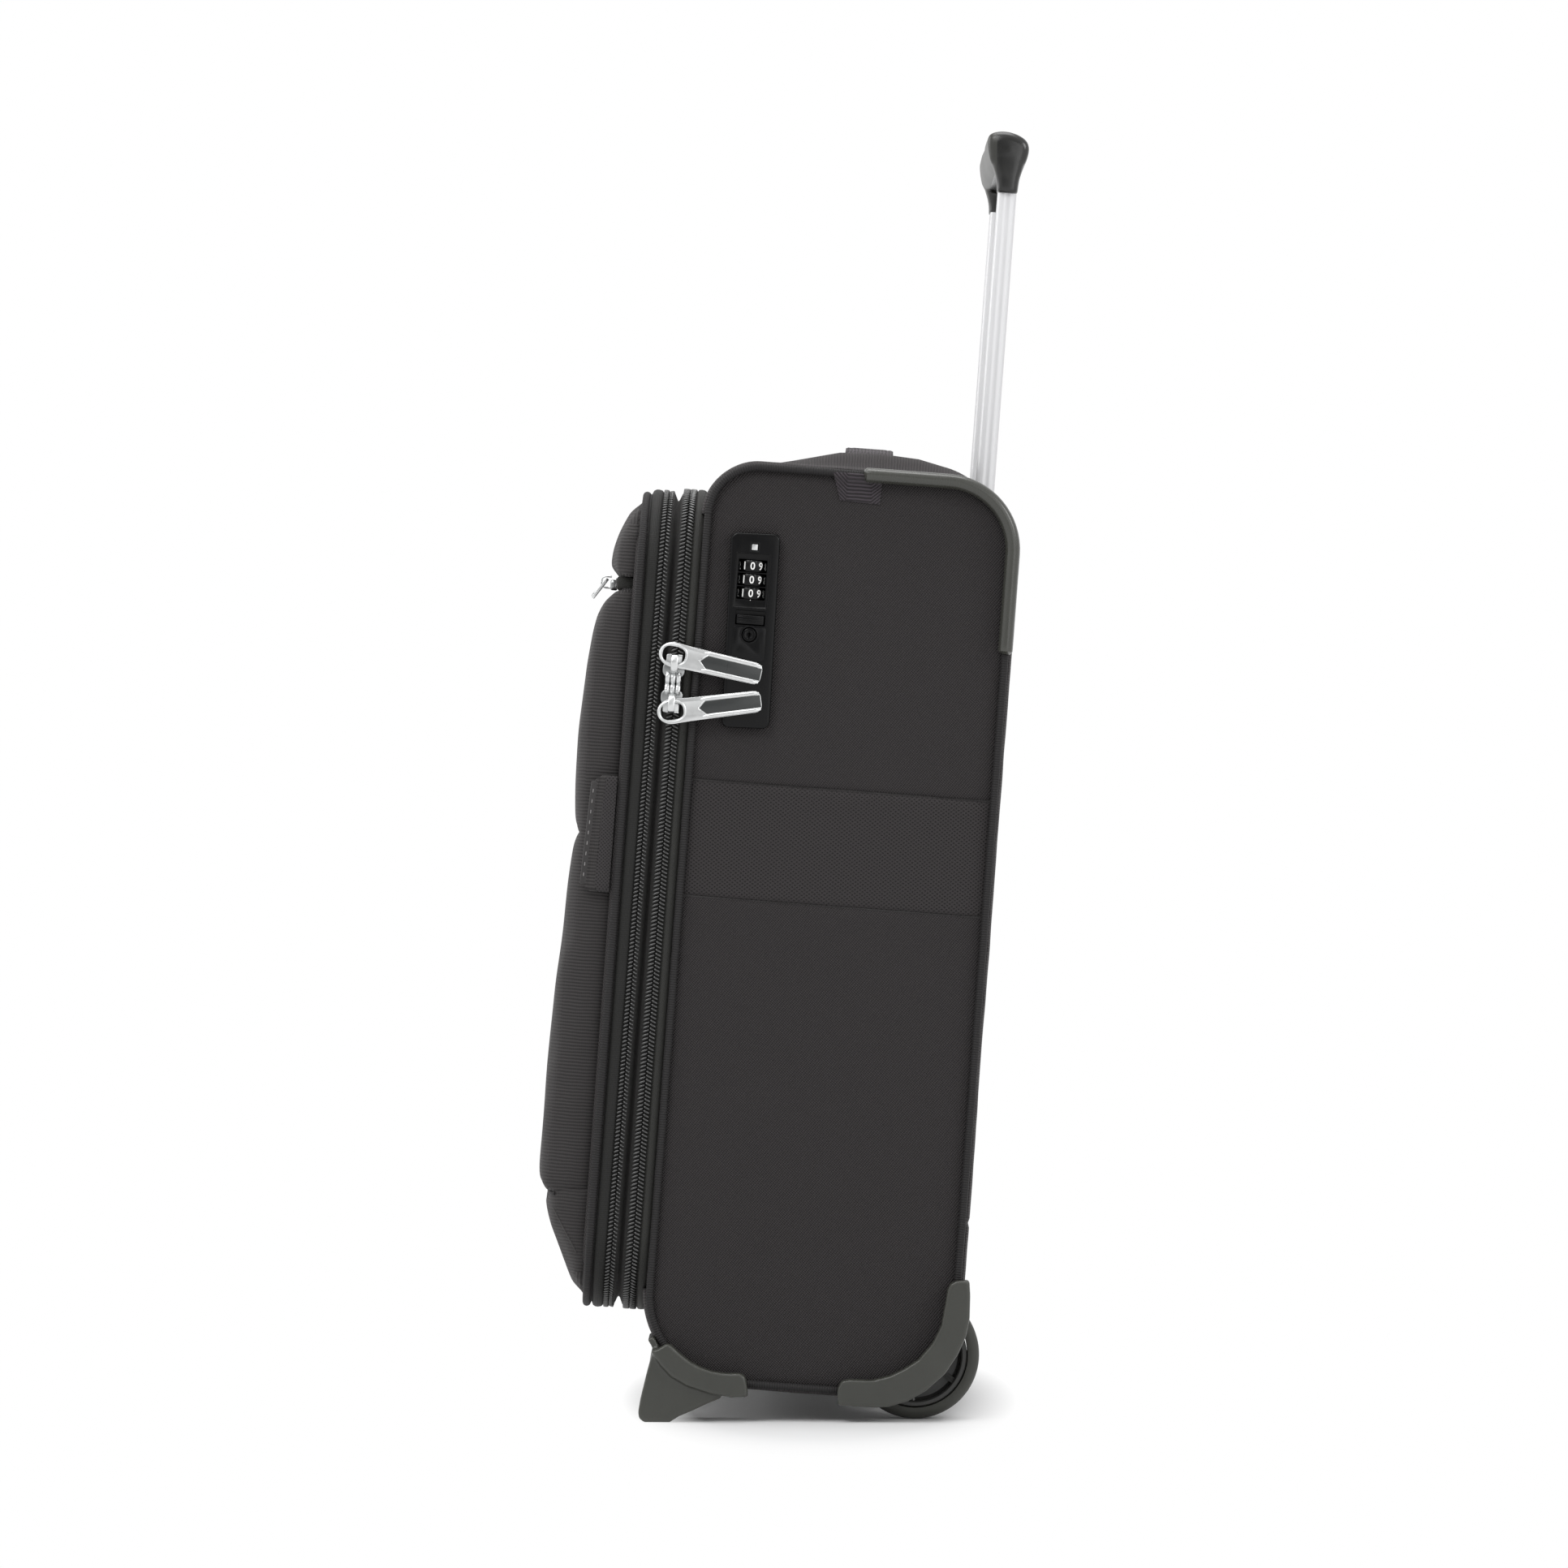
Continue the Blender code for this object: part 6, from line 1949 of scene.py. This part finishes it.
def dial_figures(body, dial_z, figures):
    """The ten figures wrapped round the drum."""
    verts, faces = [], []
    for number, (points, triangles) in enumerate(figures):
        start, count = len(verts), len(points)
        turn = -radians(36 * number)
        for level in (0.00004, -0.00020):
            radius = DIAL_R + level
            for a, b in points:
                angle = turn + a * 0.92 / DIAL_R
                verts.append((DIAL_X + radius * cos(angle), DIAL_Y + radius * sin(angle),
                              dial_z + b))
        faces += [tuple(start + i for i in face) for face in triangles]
        faces += [tuple(start + count + i for i in face[::-1]) for face in triangles]
        border = {}                                # edges with a face on one side only
        for face in triangles:
            for i in range(3):
                edge = (face[i], face[(i + 1) % 3])
                if edge[::-1] in border:
                    del border[edge[::-1]]
                else:
                    border[edge] = True
        faces += [(start + i, start + count + i, start + count + j, start + j)
                  for i, j in border]
    add(body + "_figures", verts, faces, "digit", body, "lock_black", smooth=20)


FIGURES = [text_mesh(str(number), 0.0044) for number in range(10)]
for i, z in enumerate(DIAL_HEIGHTS):
    dial_drum(f"lock_dial_{i + 1}", z)
    dial_figures(f"lock_dial_{i + 1}", z, FIGURES)

# ---------------------------------------------------------------- release slide, key cylinder
box("release_slide_visual", (0.1922, 0.1958), (-0.0653, -0.0501), (0.4415, 0.4465), "lock",
    "release_slide", "lock_black", 0.0005, 3, "release_slide")
for k, offset in enumerate((-0.0013, 0.0, 0.0013)):
    z = 0.4440 + offset
    box(f"release_slide_rib_{k}", (0.1955, 0.1963), (-0.0645, -0.0509), (z - 0.0003, z + 0.0003),
        "lock", "release_slide", "lock_black", 0.0002, 2)
KEY_PROFILE = [                                    # radius, x
    (0.0001, -0.0096), (0.0039, -0.0096), (0.0040, -0.0094), (0.0040, -0.0006),
    (0.0037, -0.0002), (0.0031, 0.0), (0.0028, -0.0005), (0.0001, -0.0005)]
cylinder = lathe("key_cylinder_visual", KEY_PROFILE, "lock", None, (0.1951, KEY_Y, KEY_Z), 48,
                 "lock_black")
combine(cylinder, [box_tool((0.1915, 0.21), (-0.0581, -0.0573), (0.4335, 0.4379)),
                   box_tool((0.1930, 0.21), (-0.0586, -0.0568), (0.4349, 0.4365))])
register(cylinder, "key_cylinder", "key_cylinder")


# ================================================================ zip sliders and pullers
def arch(name, path, plane, centre, half_width, thick, body):
    """Rounded strap bent along (x, z) or (y, z) points, centred on the third axis."""
    points = spline(path)
    sides, power = (20, 0.5) if plane == "xz" else (16, 0.6)
    loop = superellipse(sides, power, 0.7)
    verts = []
    for point, normal in zip(points, normals_of(points, False)):
        for a, b in loop:
            across, out = centre + a * half_width, b * thick / 2
            first, z = point.x + normal.x * out, point.y + normal.y * out
            verts.append((first, across, z) if plane == "xz" else (across, first, z))
    add_solid(name, verts, loft_faces(len(points), sides), "zinc", body, "zinc", smooth=50)


def zinc_plate(name, rings, plane, low, high, body, bevel, steps=3, **options):
    prism(name, rings, plane, low, high, "zinc", body, "zinc", bevel, steps, **options)


def zip_slider(tag, slider_z, direction):
    """Main zip slider; direction is the way its neck points along z."""
    body = "zip_slider_" + tag
    slider_y = -0.0981

    def at_z(offset):
        return slider_z + direction * offset

    def outline(front, back, start, end, radius, steps):
        low, high = sorted((at_z(start), at_z(end)))
        return round_rect(slider_y - front, slider_y + back, low, high, radius, steps)

    prism("slider_plate_" + tag, outline(0.0063, 0.0063, -0.0042, 0.0052, 0.0040, 8),
          "yz", 0.1896, 0.1924, "slider_dark", body, "zinc", 0.0008, 3, body)
    zinc_plate("slider_neck_" + tag, outline(0.0046, 0.0046, 0.0030, 0.0090, 0.0009, 4),
               "yz", 0.1898, 0.1930, body, 0.0005)
    zinc_plate("slider_lip_" + tag, outline(0.0034, 0.0045, 0.0083, 0.0091, 0.0003, 3),
               "yz", 0.1924, 0.1938, body, 0.00025, 2)
    start, end = at_z(-0.0071), at_z(-0.0016)
    for k, offset in enumerate((-0.0031, 0.0, 0.0031)):
        drop = abs(offset) * 0.15
        arch(f"slider_ridge_{tag}_{k}",
             [(0.1914, start), (0.1934 - drop, (start * 3 + end) / 4),
              (0.1938 - drop, (start + end) / 2), (0.1934, (start + end * 3) / 4),
              (0.1918, end)], "xz", slider_y + offset, 0.00135, 0.0022, body)
    # x, z offset
    bridge = ((0.1915, -0.0012), (0.1956, -0.0010), (0.1992, 0.0002), (0.2003, 0.0030),
              (0.2003, 0.0058), (0.1989, 0.0082), (0.1950, 0.0086), (0.1918, 0.0086))
    arch("slider_bridge_" + tag, [(x, at_z(offset)) for x, offset in bridge], "xz",
         slider_y + 0.0002, 0.0019, 0.0010, body)


def zip_puller(tag, eye_y, eye_z, degrees):
    """Puller drawn from its eye outwards: a along it, b across."""
    body = "zip_puller_" + tag
    angle = radians(degrees)
    along, across = Vector((cos(angle), sin(angle))), Vector((-sin(angle), cos(angle)))

    def at(a, b):
        point = Vector((eye_y, eye_z)) + along * a + across * b
        return (point.x, point.y)

    eye = [at(0.0084 * cos(radians(t)), 0.0070 * sin(radians(t))) for t in range(78, 283, 8)]
    edge = [(0.0100, -0.00655), (0.0200, -0.00640), (0.0445, -0.0061)]
    edge += [(0.0460 + 0.0040 * sin(radians(t)), -0.0021 - 0.0040 * cos(radians(t)))
             for t in range(0, 91, 15)]
    outline = eye + [at(a, b) for a, b in edge] + [at(a, -b) for a, b in edge[::-1]]
    hole = [at(a * 0.0064, b * 0.0047) for a, b in superellipse(40, 0.75, 0.75)]
    zinc_plate("puller_plate_" + tag, [outline, hole], "yz", 0.1966, 0.1982, body, 0.00045,
               replaces=body, smooth=40)
    rim = [at(a * 0.0073, b * 0.0057) for a, b in superellipse(72, 0.85, 0.85)]
    cord("puller_eye_rim_" + tag, [(0.1980, *point) for point in rim], 0.00062, "zinc", body,
         "zinc", True, 10)
    for rail, sign in (("a", 1), ("b", -1)):       # raised rails along both edges
        verts = []
        for t in np.linspace(0, 1, 26):
            size = min(1.0, 0.25 + t * 9.0, 0.30 + (1 - t) * 9.0)
            middle, half_width = sign * (0.00485 - 0.0002 * t), 0.00128 * size
            for j in range(11):
                turn = pi * j / 10
                point = at(0.0165 + (0.0492 - 0.0165) * t, middle + half_width * cos(turn))
                verts.append((0.1980 + 0.00085 * size * sin(turn), *point))
        add_solid(f"puller_rail_{tag}_{rail}", verts, loft_faces(26, 11), "zinc", body, "zinc",
                  smooth=50)
    inlay = [(0.0152, 0.0), (0.0190, 0.00355), (0.0496, 0.0034), (0.0496, -0.0034),
             (0.0190, -0.00355)]
    prism("puller_inlay_" + tag, [at(a, b) for a, b in inlay], "yz", 0.1980, 0.19835, "inlay",
          body, "zinc", 0.0001)
    vee = [(0.0190, 0.0041), (0.0172, 0.0024), (0.0143, 0.0), (0.0172, -0.0024),
           (0.0190, -0.0041)]
    cord("puller_vee_" + tag, [(0.1981, *at(a, b)) for a, b in vee], 0.00042, "zinc", body,
         "zinc")


zip_slider("upper", 0.4127, 1)
zip_puller("upper", -0.0986, 0.4214, -8.8)
zip_slider("lower", 0.3982, -1)
zip_puller("lower", -0.0972, 0.3898, 11.0)


def tapered_ring(centre, top, bottom, steps):
    """Outline from (half width, height, corner radius) of its top and bottom edges."""
    (top_half, top_z, top_r), (low_half, low_z, low_r) = top, bottom
    return rounded([(centre - top_half, top_z, top_r), (centre - low_half, low_z, low_r),
                    (centre + low_half, low_z, low_r), (centre + top_half, top_z, top_r)],
                   steps)


def expansion_zip_slider():
    """Slider of the outer zip and its small puller, on the left side."""
    y, z = OUTER_ZIP_Y, 0.112
    prism("expansion_slider_plate",
          round_rect(y - 0.0044, y + 0.0044, z - 0.0052, z + 0.0052, 0.0026, 7),
          "yz", -0.1922, -0.1896, "slider_dark", "expansion_slider", "zinc", 0.0007, 3,
          "expansion_slider")
    # x, z offset
    bridge = ((-0.1915, -0.0040), (-0.1950, -0.0039), (-0.1966, -0.0022), (-0.1968, 0.0),
              (-0.1966, 0.0022), (-0.1950, 0.0039), (-0.1915, 0.0040))
    arch("expansion_bridge", [(x, z + offset) for x, offset in bridge], "xz", y, 0.0011,
         0.0010, "expansion_slider")
    outer = tapered_ring(y, (0.0036, z + 0.0024, 0.0015), (0.0036, z - 0.0250, 0.0030), 6)
    eye = tapered_ring(y, (0.0019, z + 0.0006, 0.0008), (0.0019, z - 0.0066, 0.0008), 5)
    zinc_plate("expansion_puller_plate", [outer, eye], "yz", -0.1950, -0.1937,
               "expansion_puller", 0.00035, replaces="expansion_puller")
    inlay = tapered_ring(y, (0.0022, z - 0.0095, 0.0008), (0.0022, z - 0.0230, 0.0012), 4)
    prism("expansion_puller_inlay", inlay, "yz", -0.1953, -0.1949, "inlay",
          "expansion_puller", "zinc", 0.0001)


def pocket_zip_slider():
    """Slider of the pocket zip; its puller hangs swung out from the cloth."""
    x, y, z = 0.100, -0.1348, 0.4598
    prism("pocket_slider_plate",
          round_rect(x - 0.0052, x + 0.0052, z - 0.0029, z + 0.0030, 0.0018, 6),
          "xz", y - 0.0042, y - 0.0004, "slider_dark", "pocket_slider", "zinc", 0.0008, 3,
          "pocket_slider")
    # y offset, z offset
    bridge = ((-0.0038, -0.0016), (-0.0078, -0.0016), (-0.0093, -0.0002), (-0.0095, 0.0018),
              (-0.0090, 0.0038), (-0.0072, 0.0047), (-0.0038, 0.0047))
    arch("pocket_bridge", [(y + out, z + up) for out, up in bridge], "yz", x, 0.0010, 0.0011,
         "pocket_slider")
    puller_y = y - 0.0066
    swing = (Matrix.Translation((0, puller_y, z + 0.0026))
             @ Matrix.Rotation(radians(-34), 4, "X")
             @ Matrix.Translation((0, -puller_y, -z - 0.0026)))
    outer = tapered_ring(x, (-0.0042, z + 0.0036, 0.0016), (-0.0032, z - 0.0104, 0.0024), 6)
    outer = rounded([(x - 0.0042, z + 0.0036, 0.0016), (x + 0.0042, z + 0.0036, 0.0016),
                     (x + 0.0032, z - 0.0104, 0.0024), (x - 0.0032, z - 0.0104, 0.0024)])
    eye = rounded([(x - 0.0024, z + 0.0017, 0.0008), (x + 0.0024, z + 0.0017, 0.0008),
                   (x + 0.0022, z - 0.0050, 0.0008), (x - 0.0022, z - 0.0050, 0.0008)], 5)
    zinc_plate("pocket_puller_plate", [outer, eye], "xz", puller_y - 0.0008,
               puller_y + 0.0008, "pocket_puller", 0.0004, replaces="pocket_puller",
               turn=swing)
    # x offset, y offset, z offset
    rim = ((-0.0018, -0.0008, -0.0062), (-0.0018, -0.0009, -0.0082), (0.0, -0.0009, -0.0092),
           (0.0018, -0.0009, -0.0082), (0.0018, -0.0008, -0.0062))
    cord("pocket_puller_rim",
         [tuple(swing @ Vector((x + side, puller_y + out, z + up))) for side, out, up in rim],
         0.0007, "zinc", "pocket_puller", "zinc")


expansion_zip_slider()
pocket_zip_slider()


# ================================================================ floor
def floor_material():
    """Lit paper under the case, sweeping up into plain white light away from it."""
    mat = new_material("studio_floor")
    position = mat.node("ShaderNodeNewGeometry").outputs["Position"]
    mottle = mat.noise(position, scale=3.0, detail=3.0)
    color = mat.mix(mottle, (0.90, 0.90, 0.90), (0.93, 0.93, 0.93))
    paper = mat.surface(color, 0.55, spec=0.25)
    x, y, _ = mat.split(position)
    # distance in an ellipse centred under the case
    part_x = mat.calc("DIVIDE", x, 0.42)
    part_y = mat.calc("DIVIDE", mat.calc("SUBTRACT", y, 0.022), 0.112)
    distance = mat.calc("SQRT", mat.plus(mat.times(part_x, part_x), mat.times(part_y, part_y)))
    white = mat.glow("ShaderNodeEmission", color=(1, 1, 1, 1), strength=1.0)
    glow = mat.remap(distance, (0.72, 1.02), (0.018, 1.0))
    return mat.finish(mat.mix_shader(glow, paper, white))


def studio_floor():
    far, level = 30.0, -0.0002
    mesh = new_mesh("studio_floor", [(-far, -far, level), (far, -far, level),
                                     (far, far, level), (-far, far, level)], [(0, 1, 2, 3)])
    obj = new_object("studio_floor", mesh)
    mesh.materials.append(floor_material())
    mesh.shade_smooth()
    obj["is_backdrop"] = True


studio_floor()


# ================================================================ world, lights, camera
def studio_world():
    """White to the camera, a brighter tent in reflections, a soft fill for the rest."""
    world = bpy.data.worlds.new("studio_world")
    bpy.context.scene.world = world
    tree = Shader(world, "ShaderNodeOutputWorld")
    background = "ShaderNodeBackground"
    seen = tree.glow(background, color=(1, 1, 1, 1), strength=1.0)
    fill = tree.glow(background, color=(0.98, 0.99, 1.0, 1), strength=0.42)
    # the side the camera stands on is the darker one
    x, _, _ = tree.split(tree.node("ShaderNodeTexCoord").outputs["Generated"])
    tent = tree.glow(background, color=(1, 1, 1, 1),
                     strength=tree.remap(x, (0.55, 0.98), (1.00, 0.34)))
    rays = tree.node("ShaderNodeLightPath").outputs
    lit = tree.mix_shader(rays["Is Glossy Ray"], fill, tent)
    tree.finish(tree.mix_shader(rays["Is Camera Ray"], lit, seen))


def area_light(name, location, target, size, power):
    light = bpy.data.lights.new(name, "AREA")
    light.shape = "RECTANGLE"
    light.size = light.size_y = size
    light.energy = power
    obj = new_object(name, light)
    obj.location = location
    obj.rotation_mode = "QUATERNION"
    aim = Vector(target) - Vector(location)
    obj.rotation_quaternion = aim.to_track_quat("-Z", "Y")
    obj.visible_camera = False


def camera():
    """Long lens looking straight at the right side."""
    data = bpy.data.cameras.new("camera")
    obj = new_object("camera", data)
    bpy.context.scene.camera = obj
    obj.location = (4.6, -0.0054 + SHIFT, 0.3556)
    obj.rotation_mode = "QUATERNION"
    obj.rotation_quaternion = Vector((-1, 0, 0)).to_track_quat("-Z", "Y")
    data.sensor_width = 36.0
    data.lens = 181.43
    data.clip_start, data.clip_end = 0.1, 200.0


studio_world()
area_light("key_top_front", (2.2, -1.2, 2.6), target=(0, 0, 0.35), size=1.6, power=40)
area_light("fill_side", (2.8, 1.2, 1.0), target=(0, 0, 0.35), size=1.6, power=10)
area_light("front_soft", (-0.6, -2.8, 1.5), target=(0, 0, 0.35), size=1.6, power=22)
area_light("back_rim", (1.5, 2.4, 1.7), target=(0, 0, 0.45), size=1.1, power=18)
area_light("top_soft", (0.0, 0.0, 2.8), target=(0, 0, 0.3), size=1.6, power=30)
camera()
bpy.context.scene.view_settings.view_transform = "Standard"
bpy.context.scene.view_settings.look = "None"

low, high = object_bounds()
